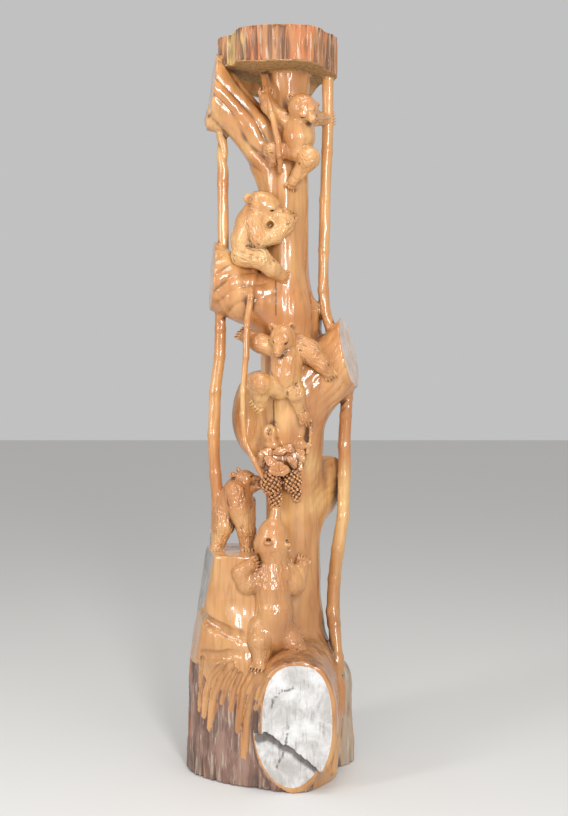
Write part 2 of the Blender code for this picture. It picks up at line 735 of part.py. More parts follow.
def carved_column():
    """The whole sculpture as one closed skin."""
    meshes, joints = all_forms()
    whole = bmesh.new()
    for mesh in meshes:
        whole.from_mesh(mesh)
        bpy.data.meshes.remove(mesh)
    mesh = bpy.data.meshes.new("carved_column")
    whole.to_mesh(mesh)
    whole.free()
    column = bpy.data.objects.new("carved_column", mesh)
    SCULPTURE.objects.link(column)

    remesh = column.modifiers.new("One skin", "REMESH")
    remesh.mode = "VOXEL"
    remesh.voxel_size = VOXEL
    applied(column)
    keep_largest_shell(column)
    thin_out(column, joints)

    wide = 4 * PLINTH_RADIUS
    tear_centre = Vector((
        FRONT_CUT_SIDE + wide / 2 * math.sin(TEAR_SLOPE),
        -FRONT_CUT_REACH - wide / 2 + TEAR_DEPTH,
        TEAR_UP - wide / 2 * math.cos(TEAR_SLOPE),
    ))
    cut_away(column, block("tear_cut", tear_centre, (wide, wide, wide), -TEAR_SLOPE))
    cut_away(column, gouge("hollow_cut", *HOLLOW_CUT))
    cut_away(column, gouge("ledge_cut", *LEDGE_GOUGE))
    cut_away(column, block("floor_cut", (0, 0, -wide / 2), (wide, wide, wide)))
    cut_away(column, block("top_cut", (0, 0, HEIGHT + wide / 2), (wide, wide, wide)))
    column.data.materials.clear()
    column.data.materials.append(varnished_wood())
    return column


def new_collection(name):
    collection = bpy.data.collections.new(name)
    bpy.context.scene.collection.children.link(collection)
    return collection


for old in list(bpy.data.objects):
    bpy.data.objects.remove(old, do_unlink=True)
SCULPTURE = new_collection("bear_column")
CUTTERS = new_collection("cutters")
UNIT_BALL = unit_ball()
carved_column()
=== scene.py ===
import itertools
import math

import bpy
import numpy as np
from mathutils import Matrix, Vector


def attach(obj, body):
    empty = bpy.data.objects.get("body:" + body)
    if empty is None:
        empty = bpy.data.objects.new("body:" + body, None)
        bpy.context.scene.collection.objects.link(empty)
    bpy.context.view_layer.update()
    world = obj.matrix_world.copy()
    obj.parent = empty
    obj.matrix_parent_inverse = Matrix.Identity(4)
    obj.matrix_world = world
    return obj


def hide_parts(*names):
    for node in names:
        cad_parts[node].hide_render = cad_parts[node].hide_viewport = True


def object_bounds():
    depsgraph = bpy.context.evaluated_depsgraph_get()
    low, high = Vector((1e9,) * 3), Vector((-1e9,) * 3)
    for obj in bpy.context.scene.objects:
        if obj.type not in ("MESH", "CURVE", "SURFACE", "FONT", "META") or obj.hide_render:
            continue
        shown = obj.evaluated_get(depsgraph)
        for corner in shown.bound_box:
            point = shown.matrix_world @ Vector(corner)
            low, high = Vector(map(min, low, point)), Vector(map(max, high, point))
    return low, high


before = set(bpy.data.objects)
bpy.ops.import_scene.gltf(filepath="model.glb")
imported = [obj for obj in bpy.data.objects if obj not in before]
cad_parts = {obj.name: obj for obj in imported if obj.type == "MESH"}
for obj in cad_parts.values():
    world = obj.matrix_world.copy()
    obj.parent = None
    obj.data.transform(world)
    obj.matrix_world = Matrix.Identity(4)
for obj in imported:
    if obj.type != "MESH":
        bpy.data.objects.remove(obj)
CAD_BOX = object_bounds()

import openvdb
from mathutils import Vector

# The whole column, in metres. Its front looks towards -Y.
HEIGHT = CAD_BOX[1][2]
FAR = 0.06  # distance kept for grid points away from all wood
LOG_STEP, FRUIT_STEP = 0.0032, 0.0014  # sizes of a voxel
LOG_SEAMS = (0.44, 1.22)  # heights where the log is split into foot, trunk and crown
CAVITY_REACHES = (0.004, 0.01, 0.022)
LOG_TRIANGLES = 500_000
BEAR_TRIANGLES = 76_000
FRUIT_TRIANGLES = 90_000

# Foot
FOOT_HEIGHT = 0.33
FOOT_RADIUS = 0.23
FOOT_LOBES = ((192, 0.034, 24), (288, 0.04, 20), (5, 0.024, 14), (345, -0.03, 16), (95, 0.008, 40))

# Ledge: a post on the foot's left, sawn level on top and upright on its left side
LEDGE_TOP = 0.655
LEDGE_PLACE = (-0.1, -0.035)
LEDGE_RADII = (0.152, 0.138)
LEDGE_CUT = (-0.2105, 0, 0.57)
LEDGE_CUT_FACING = (-1, -0.17, 0.176)

# Front saw cut, and the line along which its wood tore, as x and z
CUT_SIDE, CUT_UP, CUT_REACH = 0.07, 0.19, 0.276
CUT_HALF_WIDTH, CUT_HALF_HEIGHT = 0.099, 0.174
TEAR_X = (-0.06, -0.04, -0.015, 0.01, 0.027, 0.05, 0.078, 0.105, 0.132, 0.18)
TEAR_Z = (0.172, 0.169, 0.175, 0.158, 0.141, 0.135, 0.11, 0.09, 0.065, 0.04)
# The depth of the torn step, and the height of the band of painted shade below the torn line
TEAR_DEPTH, TEAR_SHADE_WIDTH = 0.022, 0.022
LOWER_CUT_SIDE, LOWER_CUT_HALF_WIDTH = 0.054, 0.112

# Gouge cuts that run down over the bark: x and z of points on the middle line, and half width
FLUTES = (
    (((-0.207, 0.352), (-0.214, 0.291), (-0.218, 0.195)), 0.0065),
    (((-0.15, 0.34), (-0.183, 0.3), (-0.197, 0.247), (-0.203, 0.18)), 0.009),
    (((-0.122, 0.345), (-0.15, 0.306), (-0.173, 0.247), (-0.186, 0.15)), 0.012),
    (((-0.108, 0.33), (-0.13, 0.29), (-0.148, 0.232)), 0.008),
    (((-0.092, 0.32), (-0.11, 0.28), (-0.122, 0.218)), 0.0085),
    (((-0.062, 0.322), (-0.086, 0.277), (-0.101, 0.16)), 0.0105),
    (((-0.03, 0.322), (-0.06, 0.262), (-0.076, 0.189), (-0.082, 0.09)), 0.012),
    (((-0.008, 0.322), (-0.03, 0.285), (-0.044, 0.24)), 0.0085),
)
FLUTE_SHARE = 0.82  # depth of a flute as a share of its half width
FLUTE_RIM = 0.0028  # bare wood beside a flute
CREASE = (((-0.215, 0.478), (-0.17, 0.452), (-0.121, 0.434), (-0.08, 0.42)), 0.012)
BOWL = (((-0.2, 0.362), (-0.15, 0.366), (-0.098, 0.374)), 0.015)

# Cracks in the wood, as x and z on its front
CRACKS = (
    ((0.046, 0.197), (0.035, 0.124), (0.012, 0.072)),
    ((-0.002, 0.245), (0.002, 0.272), (0.025, 0.292), (0.058, 0.3)),
    ((0.008, 1.46), (0.009, 1.35)),
    ((0.002, 1.105), (0.003, 1.03)),
    ((-0.09, 0.615), (-0.086, 0.57), (-0.078, 0.555)),
    ((-0.013, 1.005), (-0.007, 1.021)),
)

# Trunk: height as a share of HEIGHT, sideways place, radius
TRUNK = (
    (0.08, 0.05, 0.15),
    (0.15, 0.058, 0.118),
    (0.18, 0.055, 0.104),
    (0.23, 0.05, 0.096),
    (0.285, 0.062, 0.082),
    (0.365, 0.062, 0.081),
    (0.43, 0.06, 0.091),
    (0.47, 0.061, 0.096),
    (0.51, 0.057, 0.09),
    (0.565, 0.044, 0.084),
    (0.63, 0.04, 0.084),
    (0.68, 0.03, 0.076),
    (0.78, 0.036, 0.07),
    (0.865, 0.035, 0.068),
    (0.925, 0.045, 0.06),
    (0.97, 0.045, 0.066),
)
TRUNK_SMOOTHING = 12  # voxels to each side

# Bark: height of its upper edge over x, the bare sector beside the front cut in degrees, and the front's y
BARK_TOP = ((-0.22, -0.19, -0.05, 0.08, 0.16), (0.33, 0.272, 0.262, 0.262, 0.295))
BARE_FROM, BARE_TO = 296, 334
FRONT = -0.1
BARK_RIDGE, BARK_SUNK = 0.0036, 0.0045

# Tool marks
GOUGE_DEPTH, SAW_DEPTH = 0.0016, 0.0004

# Cap
CAP_THICKNESS = 0.107
CAP_RADIUS = 0.182
CAP_SIDE = 0.013
CAP_LOBES = ((209, -0.03, 15), (302, 0.012, 16), (327, -0.012, 10), (90, -0.004, 50))
CAP_BACK_LIP = 0.034
CAP_BARK_FROM = 2.04

LATTICE_SIZE = 32
LATTICE = np.random.default_rng(11).random((LATTICE_SIZE,) * 3).astype(np.float32) * 2 - 1


def unit(vector):
    vector = np.asarray(vector, float)
    return vector / np.linalg.norm(vector)


def trunk_at(height):
    shares, sides, radii = zip(*TRUNK)
    return np.interp(height / HEIGHT, shares, sides), np.interp(height / HEIGHT, shares, radii)


def on_trunk(height, side=0.0, out=0.0):
    """A point in front of the trunk: side from its middle, out from its front face."""
    middle, radius = trunk_at(height)
    return np.array((middle + side, -radius - out, height))


def reach(radius, lobes, angle):
    """Plan radius of the log in one direction, in radians."""
    total = radius
    degrees = np.degrees(angle)
    for direction, extra, spread in lobes:
        away = (degrees - direction + 180) % 360 - 180
        total = total + extra * np.exp(-((away / spread) ** 2))
    return total


def smooth_min(a, b, blend):
    share = np.clip(0.5 + 0.5 * (b - a) / blend, 0, 1)
    return b + (a - b) * share - blend * share * (1 - share)


def smooth_max(a, b, blend):
    return -smooth_min(-a, -b, blend)


def hollowed(wood, hole, blend):
    return smooth_max(wood, -hole, blend)


def smooth_step(low, high, value):
    share = np.clip((value - low) / (high - low), 0, 1)
    return share * share * (3 - 2 * share)


def cell_corners(part, kind):
    """Each corner of a grid cell, and the share of its value at these places in the cell."""
    for corner in itertools.product((0, 1), repeat=3):
        weight = np.ones(len(part), kind)
        for i in range(3):
            weight *= part[:, i] if corner[i] else 1 - part[:, i]
        yield corner, weight


def noise(points, cell, shift=0.0):
    """Smooth noise from -1 to 1. cell is the size of a bump along x, y and z."""
    place = points / np.asarray(cell, np.float32) + shift
    base = np.floor(place).astype(np.int64)
    part = place - base
    part = part * part * (3 - 2 * part)
    total = np.zeros(len(points), np.float32)
    for corner, weight in cell_corners(part, np.float32):
        total += weight * LATTICE[tuple(((base + corner) % LATTICE_SIZE).T)]
    return total


# Forms. Each is (lowest corner, highest corner, distance to its surface).


def dot(x, y, z, axis):
    return x * axis[0] + y * axis[1] + z * axis[2]


def rod(start, end, start_radius, end_radius=None):
    a, b = np.asarray(start, float), np.asarray(end, float)
    end_radius = start_radius if end_radius is None else end_radius
    along = b - a
    square = along @ along

    def distance(x, y, z):
        x, y, z = x - a[0], y - a[1], z - a[2]
        share = np.clip(dot(x, y, z, along) / square, 0, 1)
        x, y, z = x - share * along[0], y - share * along[1], z - share * along[2]
        return np.sqrt(x * x + y * y + z * z) - (start_radius + (end_radius - start_radius) * share)

    widest = max(start_radius, end_radius)
    return np.minimum(a, b) - widest, np.maximum(a, b) + widest, distance


def rods(chain):
    """Rods between the joints of a chain, which are each a place and a radius."""
    return [rod(a, b, a_radius, b_radius) for (a, a_radius), (b, b_radius) in zip(chain, chain[1:])]


def egg(centre, radii, axes=((1, 0, 0), (0, 1, 0), (0, 0, 1))):
    """An ellipsoid. Each of axes is the direction of one of its radii."""
    centre = np.asarray(centre, float)

    def distance(x, y, z):
        x, y, z = x - centre[0], y - centre[1], z - centre[2]
        near, slope = 0, 1e-12
        for radius, axis in zip(radii, axes):
            part = dot(x, y, z, axis) / radius
            near = near + part * part
            slope = slope + (part / radius) ** 2
        near = np.sqrt(near)
        return near * (near - 1) / np.sqrt(slope)

    widest = max(radii)
    return centre - widest, centre + widest, distance


class Block:
    """Wood as a grid of distances to its surface, negative inside."""

    def __init__(self, low, high, step):
        self.step = step
        self.low = np.asarray(low, float) - 4 * step
        counts = np.ceil((np.asarray(high) + 4 * step - self.low) / step).astype(int) + 1
        self.axes = [(self.low[i] + step * np.arange(counts[i])).astype(np.float32) for i in range(3)]
        self.values = np.full(counts, FAR, np.float32)

    def window(self, low, high):
        """The part of the grid between two corners, and its coordinates."""
        ranges = []
        for i in range(3):
            first = int(np.clip((low[i] - self.low[i]) / self.step, 0, len(self.axes[i])))
            last = int(np.clip(math.ceil((high[i] - self.low[i]) / self.step) + 1, 0, len(self.axes[i])))
            ranges.append(slice(first, last))
        x = self.axes[0][ranges[0]][:, None, None]
        y = self.axes[1][ranges[1]][None, :, None]
        z = self.axes[2][ranges[2]][None, None, :]
        return tuple(ranges), x, y, z

    def merge(self, where, values, blend, join=smooth_min):
        self.values[where] = join(self.values[where], values.astype(np.float32), blend)

    def add(self, form, blend=0.004, join=smooth_min):
        low, high, distance = form
        margin = blend + 5 * self.step
        where, x, y, z = self.window(np.subtract(low, margin), np.add(high, margin))
        if self.values[where].size:
            self.merge(where, distance(x, y, z), blend, join)

    def cut(self, form, blend=0.004):
        self.add(form, blend, hollowed)

    def at(self, points):
        """Distances at any points, from the eight grid points round each."""
        place = (points - self.low) / self.step
        top = np.array(self.values.shape) - 2
        base = np.clip(np.floor(place).astype(np.int64), 0, top)
        part = np.clip(place - base, 0, 1)
        total = np.zeros(len(points), np.float32)
        for corner, weight in cell_corners(part, np.float64):
            total += weight * self.values[tuple((base + corner).T)]
        return total

    def skin(self):
        """Points and quads of the surface."""
        band = 3 * self.step
        grid = openvdb.FloatGrid(band)
        grid.copyFromArray(np.clip(self.values, -band, band))
        points, _, quads = grid.convertToPolygons(0.0, 0.0)
        return points.astype(np.float64) * self.step + self.low, quads.astype(np.int64)


def normals_of(points, faces):
    corners = [points[faces[:, i]] for i in range(faces.shape[1])]
    crossed = np.cross(corners[2] - corners[0], corners[-1] - corners[1])
    total = np.empty_like(points)
    for axis in range(3):
        spread = np.repeat(crossed[:, axis], faces.shape[1])
        total[:, axis] = np.bincount(faces.ravel(), weights=spread, minlength=len(points))
    return total / np.maximum(np.linalg.norm(total, axis=1, keepdims=True), 1e-12)


def crevice_shade_of(block, points, normals):
    """How deep each point lies between its neighbours, from 0 to 1. The material paints shade into the
    crevices by this depth.
    """
    total = np.zeros(len(points))
    for away in CAVITY_REACHES:
        total += np.clip(1 - block.at(points + normals * away) / away, 0, 1)
    return total / len(CAVITY_REACHES)


# The log: foot, trunk, stubs, vines and cap


def foot(block):
    low, high = (-0.32, -0.34, -0.02), (0.32, 0.32, 0.5)
    where, x, y, z = block.window(low, high)
    angle = np.arctan2(y, x)
    radius = np.sqrt(x * x + y * y)
    side = radius - reach(FOOT_RADIUS, FOOT_LOBES, angle) + 0.016 * np.clip(z / FOOT_HEIGHT, 0, 1.2) ** 2
    top = z - (FOOT_HEIGHT + 0.02 - 0.18 * np.clip(x, -0.16, 0.24))
    block.merge(where, smooth_max(side, top, 0.045), 0.01)


def tear_line(x):
    return np.interp(x, TEAR_X, TEAR_Z)


def oval(x, half_width, up):
    """1 on the rim of the oval cut, which is fuller at its top than an ellipse."""
    power = 2 + 0.6 * smooth_step(-0.2, 0.3, up)
    return (np.abs(x / half_width) ** power + np.abs(up) ** power) ** (1 / power)


def front_branch(block):
    """The sawn branch on the foot's front. The wood below the torn line is set back."""
    low, high = (-0.12, -0.34, -0.04), (0.24, -0.02, 0.42)
    where, x, y, z = block.window(low, high)
    line = tear_line(x[:, 0, 0])[:, None, None]
    ragged = 0.0022 * np.sin(310 * x + 1.7) + 0.0016 * np.sin(730 * x)
    below = line + ragged - z
    up = (z - CUT_UP) / (CUT_HALF_HEIGHT + 0.011)
    across = oval(x - CUT_SIDE, CUT_HALF_WIDTH + 0.013, up)
    low_across = np.sqrt(((x - LOWER_CUT_SIDE) / LOWER_CUT_HALF_WIDTH) ** 2 + up ** 2)
    taper = -0.1 * np.clip(y + CUT_REACH, 0, 1)
    upper = smooth_max((across - 1) * (CUT_HALF_WIDTH + 0.01) + taper, -(y + CUT_REACH), 0.008)
    upper = smooth_max(upper, 0.55 * (below + (y + CUT_REACH) * 0.9), 0.003)
    set_back = CUT_REACH - TEAR_DEPTH
    lower = smooth_max((low_across - 1) * LOWER_CUT_HALF_WIDTH + taper, -(y + set_back), 0.008)
    form = smooth_max(smooth_min(upper, lower, 0.003), y + 0.02, 0.004)
    block.merge(where, form, 0.02)


def front_point(block, x, z):
    """Where a line from the front first meets the wood."""
    steps = np.arange(-0.3, 0.1, 0.001)
    line = np.stack([np.full(len(steps), x), steps, np.full(len(steps), z)], axis=1)
    return line[np.argmax(block.at(line) < 0)]


def gouge_paths(block, lines):
    """Each gouge cut as points in the air over its middle line, with the radius of the tool.

    The cut is deepest near its start, and runs out at its far end.
    """
    paths = []
    for corners, half_width in lines:
        most = FLUTE_SHARE * half_width
        radius = (half_width ** 2 + most ** 2) / (2 * most)
        places = np.linspace(0, len(corners) - 1, 3 * len(corners))
        xs = np.interp(places, range(len(corners)), [corner[0] for corner in corners])
        zs = np.interp(places, range(len(corners)), [corner[1] for corner in corners])
        touched = [front_point(block, x, z) for x, z in zip(xs, zs)]
        steps = 0.004 * np.eye(3)
        path = []
        for i, place in enumerate(touched):
            depth = most * min(1.0, 0.1 + 3.2 * (1 - i / (len(touched) - 1)))
            ahead = block.at(place + steps)
            behind = block.at(place - steps)
            path.append((place + unit(ahead - behind) * (radius - depth), radius))
        paths.append(path)
    return paths


def gouge_cuts(block, paths, blend):
    for path in paths:
        for form in rods(path):
            block.cut(form, blend)


def trunk(block):
    low, high = (-0.14, -0.19, 0.16), (0.25, 0.19, HEIGHT - 0.02)
    where, x, y, z = block.window(low, high)
    middle, radius = trunk_at(z[0, 0, :])
    kernel = np.hanning(2 * TRUNK_SMOOTHING + 1)
    kernel /= kernel.sum()
    middle = np.convolve(np.pad(middle, TRUNK_SMOOTHING, "edge"), kernel, "valid")[None, None, :]
    radius = np.convolve(np.pad(radius, TRUNK_SMOOTHING, "edge"), kernel, "valid")[None, None, :]
    angle = np.arctan2(y, x - middle)
    bulge = 0.0016 * np.sin(4 * angle + 9 * z) + 0.0006 * np.sin(9 * angle - 14 * z + 2)
    form = np.sqrt((x - middle) ** 2 + y * y) - radius - bulge
    block.merge(where, form, 0.045)
    collar = rod((0.044, 0, 2.015), (0.048, 0, 2.11), 0.061, 0.069)
    block.add(collar, 0.004)
    block.add(egg((0.075, -0.02, 1.14), (0.095, 0.088, 0.15)), 0.03)


def cap_under(x, y):
    """Height of the cap's underside, which rises to the left and hangs lower at the back."""
    under = HEIGHT - CAP_THICKNESS + 0.18 * np.clip(-x - 0.05, 0, 1) - 0.1 * np.clip(x - 0.1, 0, 1)
    return under - CAP_BACK_LIP * smooth_step(0.095, 0.13, y) * smooth_step(0.14, 0.1, np.abs(x - 0.01))


def cap(block):
    low, high = (-0.26, -0.26, 2.02), (0.26, 0.26, 2.24)
    where, x, y, z = block.window(low, high)
    angle = np.arctan2(y, x - CAP_SIDE)
    radius = np.sqrt((x - CAP_SIDE) ** 2 + y * y)
    form = smooth_max(radius - reach(CAP_RADIUS, CAP_LOBES, angle), cap_under(x, y) - z, 0.006)
    form = smooth_max(form, z - HEIGHT, 0.004)
    block.merge(where, form, 0.012)


# Stubs: joints as (place, radius) from root to cut, a point on the cut, the way the cut faces, pale or not
STUBS = {
    "upper left": (
        (((0.038, 0, 1.7), 0.052), ((-0.058, -0.004, 1.925), 0.06), ((-0.215, -0.01, 2.07), 0.092)),
        (-0.1864, 0, 2.05), (-1, -0.14, 0.1135), True),
    "upper left heel": (
        (((-0.12, 0, 1.965), 0.034), ((-0.25, 0, 1.953), 0.034)),
        (-0.1864, 0, 2.05), (-1, -0.14, 0.1135), True),
    "left": (
        (((0.03, 0, 1.37), 0.085), ((-0.24, -0.006, 1.508), 0.098)),
        (-0.187, 0, 1.484), (-1, -0.125, 0.07), True),
    "right": (
        (((0.07, -0.012, 1.095), 0.088), ((0.32, -0.03, 1.335), 0.096)),
        (0.235, 0, 1.256), (1, -0.27, 0.24), True),
    "back right": (
        (((0.07, 0, 0.74), 0.066), ((0.2, 0.12, 0.88), 0.072)),
        (0.172, 0.1, 0.85), (0.55, 0.8, 0.2), True),
    "flap": (
        (((0.08, 0.02, 1.19), 0.05), ((0.134, 0.03, 1.46), 0.03)),
        (0.134, 0.03, 1.4), (0.1, -0.1, 1), False),
}


def stub(block, joints, place, facing):
    """A branch that is sawn off flat at this place."""
    facing = unit(facing)
    forms = rods(joints)
    low = np.min([form[0] for form in forms], axis=0)
    high = np.max([form[1] for form in forms], axis=0)

    def sawn(x, y, z):
        whole = forms[0][2](x, y, z)
        for form in forms[1:]:
            whole = smooth_min(whole, form[2](x, y, z), 0.03)
        beyond = dot(x - place[0], y - place[1], z - place[2], facing)
        return smooth_max(whole, beyond, 0.004)

    high[2] = min(high[2], HEIGHT - 0.004)
    block.add((low, high, sawn), 0.032)


def hollow_stub(block):
    """The short branch at the back left, with a scooped front."""
    block.add(egg((-0.04, 0.07, 1.055), (0.088, 0.07, 0.14)), 0.03)
    block.cut(egg((-0.085, -0.004, 1.05), (0.036, 0.06, 0.105)), 0.01)


def ledge(block):
    place, facing = LEDGE_CUT, unit(LEDGE_CUT_FACING)
    centre, radii = LEDGE_PLACE, LEDGE_RADII

    def post(x, y, z):
        around = np.sqrt(((x - centre[0]) / radii[0]) ** 2 + ((y - centre[1]) / radii[1]) ** 2)
        form = (around - 1) * radii[1] - 0.16 * np.clip(0.455 - z, 0, 0.2)
        beyond = dot(x - place[0], y - place[1], z - place[2], facing)
        past_foot = np.sqrt(x * x + y * y) - reach(FOOT_RADIUS, FOOT_LOBES, np.arctan2(y, x))
        form = smooth_max(form, past_foot + 0.012 - 0.45 * np.clip(z - 0.32, 0, 0.3), 0.02)
        form = smooth_max(smooth_max(form, beyond, 0.005), z - LEDGE_TOP, 0.006)
        return smooth_max(form, 0.24 - z, 0.02)

    block.add(((-0.28, -0.2, 0.24), (0.07, 0.13, LEDGE_TOP), post), 0.018)
    block.cut(rod((-0.262, -0.22, 0.448), (-0.262, 0.16, 0.448), 0.024), 0.01)
    block.cut(egg((-0.085, -0.196, 0.54), (0.085, 0.042, 0.085)), 0.03)


def shoulder(block):
    """The crease below the ledge, the ridge under it and the shallow bowl where the flutes begin."""
    gouge_cuts(block, gouge_paths(block, (CREASE,)), 0.012)
    gouge_cuts(block, gouge_paths(block, (BOWL,)), 0.01)
    block.cut(rod((-0.07, -0.185, 0.58), (-0.068, -0.197, 0.455), 0.014), 0.01)


def knot_and_twig(block):
    """A small knot, a bump and a twisted twig between the middle bear and the leaves."""
    knot = on_trunk(1.01, -0.07, -0.01)
    block.add(egg(knot, (0.021, 0.016, 0.026)), 0.012)
    block.cut(egg(knot + (0, -0.017, 0.004), (0.009, 0.011, 0.013)), 0.003)
    block.add(egg(on_trunk(0.975, -0.062, -0.004), (0.024, 0.018, 0.016)), 0.01)
    block.add(egg(on_trunk(0.976, 0.024, -0.004), (0.019, 0.016, 0.019)), 0.008)
    twig = [on_trunk(z, side) for z, side in ((1.06, 0.044), (1.02, 0.052), (0.985, 0.05), (0.952, 0.042))]
    for start, end in zip(twig, twig[1:]):
        block.add(rod(start, end, 0.0062), 0.003)
        turn_end = (start + end) / 2 + (-0.004, -0.006, 0)
        block.add(rod(start + (0.004, -0.004, -0.01), turn_end, 0.0042), 0.001)


def right_root(block):
    """The right vine's end, which runs down the foot as a ridge beside the oval cut."""
    points = ((0.184, -0.028, 0.43), (0.192, -0.062, 0.334), (0.196, -0.1, 0.262), (0.196, -0.124, 0.19))
    for start, end in zip(points, points[1:]):
        block.add(rod(start, end, 0.02, 0.017), 0.008)
    block.add(rod((0.19, -0.142, 0.205), (0.176, -0.16, 0.03), 0.014, 0.012), 0.006)


VINES = (
    (0.0165, 0.0165, ((-0.156, 0, 1.95), (-0.153, 0, 1.76), (-0.15, 0, 1.51))),
    (0.0168, 0.0165, ((0.167, 0, 2.11), (0.166, 0, 1.96), (0.164, 0, 1.86), (0.158, 0, 1.713),
        (0.154, 0, 1.56), (0.152, 0, 1.44), (0.158, 0, 1.372), (0.182, -0.008, 1.3))),
    (0.017, 0.0185, ((-0.16, 0, 1.42), (-0.161, 0, 1.32), (-0.163, 0, 1.24), (-0.177, 0, 1.13),
        (-0.181, 0, 1.0), (-0.176, 0, 0.88), (-0.169, 0, 0.81), (-0.176, -0.01, 0.62))),
    (0.018, 0.0205, ((0.228, -0.01, 1.18), (0.221, 0, 1.06), (0.216, 0, 0.964), (0.217, 0, 0.873),
        (0.213, 0, 0.75), (0.196, 0, 0.651), (0.186, 0, 0.56), (0.182, -0.012, 0.465),
        (0.184, -0.028, 0.43))),
    (0.009, 0.008, ((-0.034, -0.035, 2.11), (-0.021, -0.085, 2.029), (-0.002, -0.12, 1.947),
        (0.015, -0.135, 1.869), (0.02, -0.145, 1.825), (0.023, -0.105, 1.784))),
    (0.0105, 0.007, ((-0.055, -0.06, 1.496), (-0.066, -0.095, 1.416), (-0.076, -0.115, 1.329),
        (-0.079, -0.12, 1.235), (-0.088, -0.115, 1.132), (-0.089, -0.11, 1.064),
        (-0.082, -0.11, 0.987), (-0.055, -0.115, 0.929), (-0.03, -0.11, 0.88))),
)


def vines(block):
    for start_radius, end_radius, points in VINES:
        last = len(points) - 1
        radii = [start_radius + (end_radius - start_radius) * i / last for i in range(last + 1)]
        for form in rods(list(zip(points, radii))):
            block.add(form, 0.006)


def log_block():
    """The log's wood, and the paths of the flutes over its bark."""
    block = Block((-0.3, -0.3, 0.0), (0.3, 0.27, HEIGHT), LOG_STEP)
    foot(block)
    trunk(block)
    ledge(block)
    shoulder(block)
    front_branch(block)
    right_root(block)
    knot_and_twig(block)
    paths = gouge_paths(block, FLUTES)
    gouge_cuts(block, paths, 0.001)
    for joints, place, facing, _ in STUBS.values():
        stub(block, joints, place, facing)
    hollow_stub(block)
    cap(block)
    vines(block)
    heights = block.axes[2][None, None, :]
    block.values = np.maximum(block.values, np.maximum(-heights, heights - np.float32(HEIGHT)))
    return block, paths


def segment_distance(points, start, end):
    along = end - start
    share = np.clip((points - start) @ along / (along @ along), 0, 1)
    return np.linalg.norm(points - start - share[:, None] * along, axis=1)


def front_cut(points):
    """1 on the rim of the front's saw cut and less inside it, for each point."""
    x, _, z = points.T
    up = (z - CUT_UP) / CUT_HALF_HEIGHT
    across = oval(x - CUT_SIDE, CUT_HALF_WIDTH, up)
    low_across = np.sqrt(((x - LOWER_CUT_SIDE) / (LOWER_CUT_HALF_WIDTH - 0.006)) ** 2 + up ** 2)
    return np.where(z < tear_line(x), low_across, across)


def bark_edge(points, normals, paths):
    """Distance inside the bark of the foot or the cap, for each point of the log."""
    x, y, z = points.T
    angle = np.arctan2(y, x)
    out = np.hypot(x, y) - reach(FOOT_RADIUS, FOOT_LOBES, angle)
    top = np.interp(x, *BARK_TOP)
    top = top + 0.01 * noise(points, (0.02, 0.02, 0.05))
    bark = np.minimum(out + 0.03, top - z)
    degrees = np.degrees(angle) % 360
    beside_cut = np.minimum(degrees - BARE_FROM, BARE_TO - degrees) * 0.004
    bark = np.minimum(bark, -beside_cut)
    for path in paths:
        for (start, radius), (end, _) in zip(path, path[1:]):
            bark = np.minimum(bark, segment_distance(points, start, end) - radius - FLUTE_RIM)
    across = front_cut(points)
    rim = 0.004 + 0.009 * smooth_step(0.0, 0.12, x)
    bark = np.where(y < FRONT, np.minimum(bark, (across - 1) * CUT_HALF_WIDTH - rim), bark)
    plan = np.hypot(x - CAP_SIDE, y)
    cap_out = plan - reach(CAP_RADIUS, CAP_LOBES, np.arctan2(y, x - CAP_SIDE)) + 0.012
    level = 0.01 - np.abs(normals[:, 2]) * 0.02
    cap_bark = np.minimum(np.minimum(cap_out, z - cap_under(x, y) + 0.002), level)
    return np.where(z > CAP_BARK_FROM, cap_bark, bark)


def cut_edge(points, normals):
    """Distance inside the pale saw cuts, for each point of the log."""
    on_face = (1 - front_cut(points)) * CUT_HALF_WIDTH
    cut = np.where(points[:, 1] < -CUT_REACH + 0.045, on_face, -0.02)
    pale = [(place, unit(facing), 0.13) for _, place, facing, is_pale in STUBS.values() if is_pale]
    pale.append((np.array(LEDGE_CUT) + (0, 0, 0.02), unit(LEDGE_CUT_FACING), 0.125))
    for place, facing, radius in pale:
        beyond = np.abs((points - place) @ facing)
        near = np.linalg.norm(points - place, axis=1)
        face = np.minimum(np.minimum(0.004 - beyond, radius - near), (normals @ facing - 0.9) * 0.02)
        cut = np.maximum(cut, face)
    return cut


def dark_marks_and_step_shade(points, cut):
    """How dark each point is from cracks, painted shade on the torn step and the weathered cut of the ledge.
    """
    x, y, z = points.T
    below = tear_line(x) - z
    band = TEAR_SHADE_WIDTH + 0.008 * smooth_step(0.03, -0.03, x)
    # Painted shade: a dark band just below the torn line, where the step lies in shadow
    torn_step_shade = smooth_step(-0.004, 0.001, below) * smooth_step(band + 0.004, band - 0.004, below)
    torn_step_shade = np.where((cut > 0) & (y < -0.2), torn_step_shade, 0)
    weathered = 0.5 * smooth_step(-0.001, 0.001, cut) * ((z > 0.4) & (z < 0.7) & (x < -0.12))
    near_crack = np.full(len(points), 1.0)
    flat = points * (1, 0, 1)
    for crack in CRACKS:
        corners = [np.array((x_place, 0, z_place)) for x_place, z_place in crack]
        for start, end in zip(corners, corners[1:]):
            near_crack = np.minimum(near_crack, segment_distance(flat, start, end))
    near_crack = np.where(y < -0.04, near_crack, 1.0)
    cracked = 1 - smooth_step(0.0008, 0.0034, near_crack)
    return np.maximum(np.maximum(cracked, 0.9 * torn_step_shade), weathered)


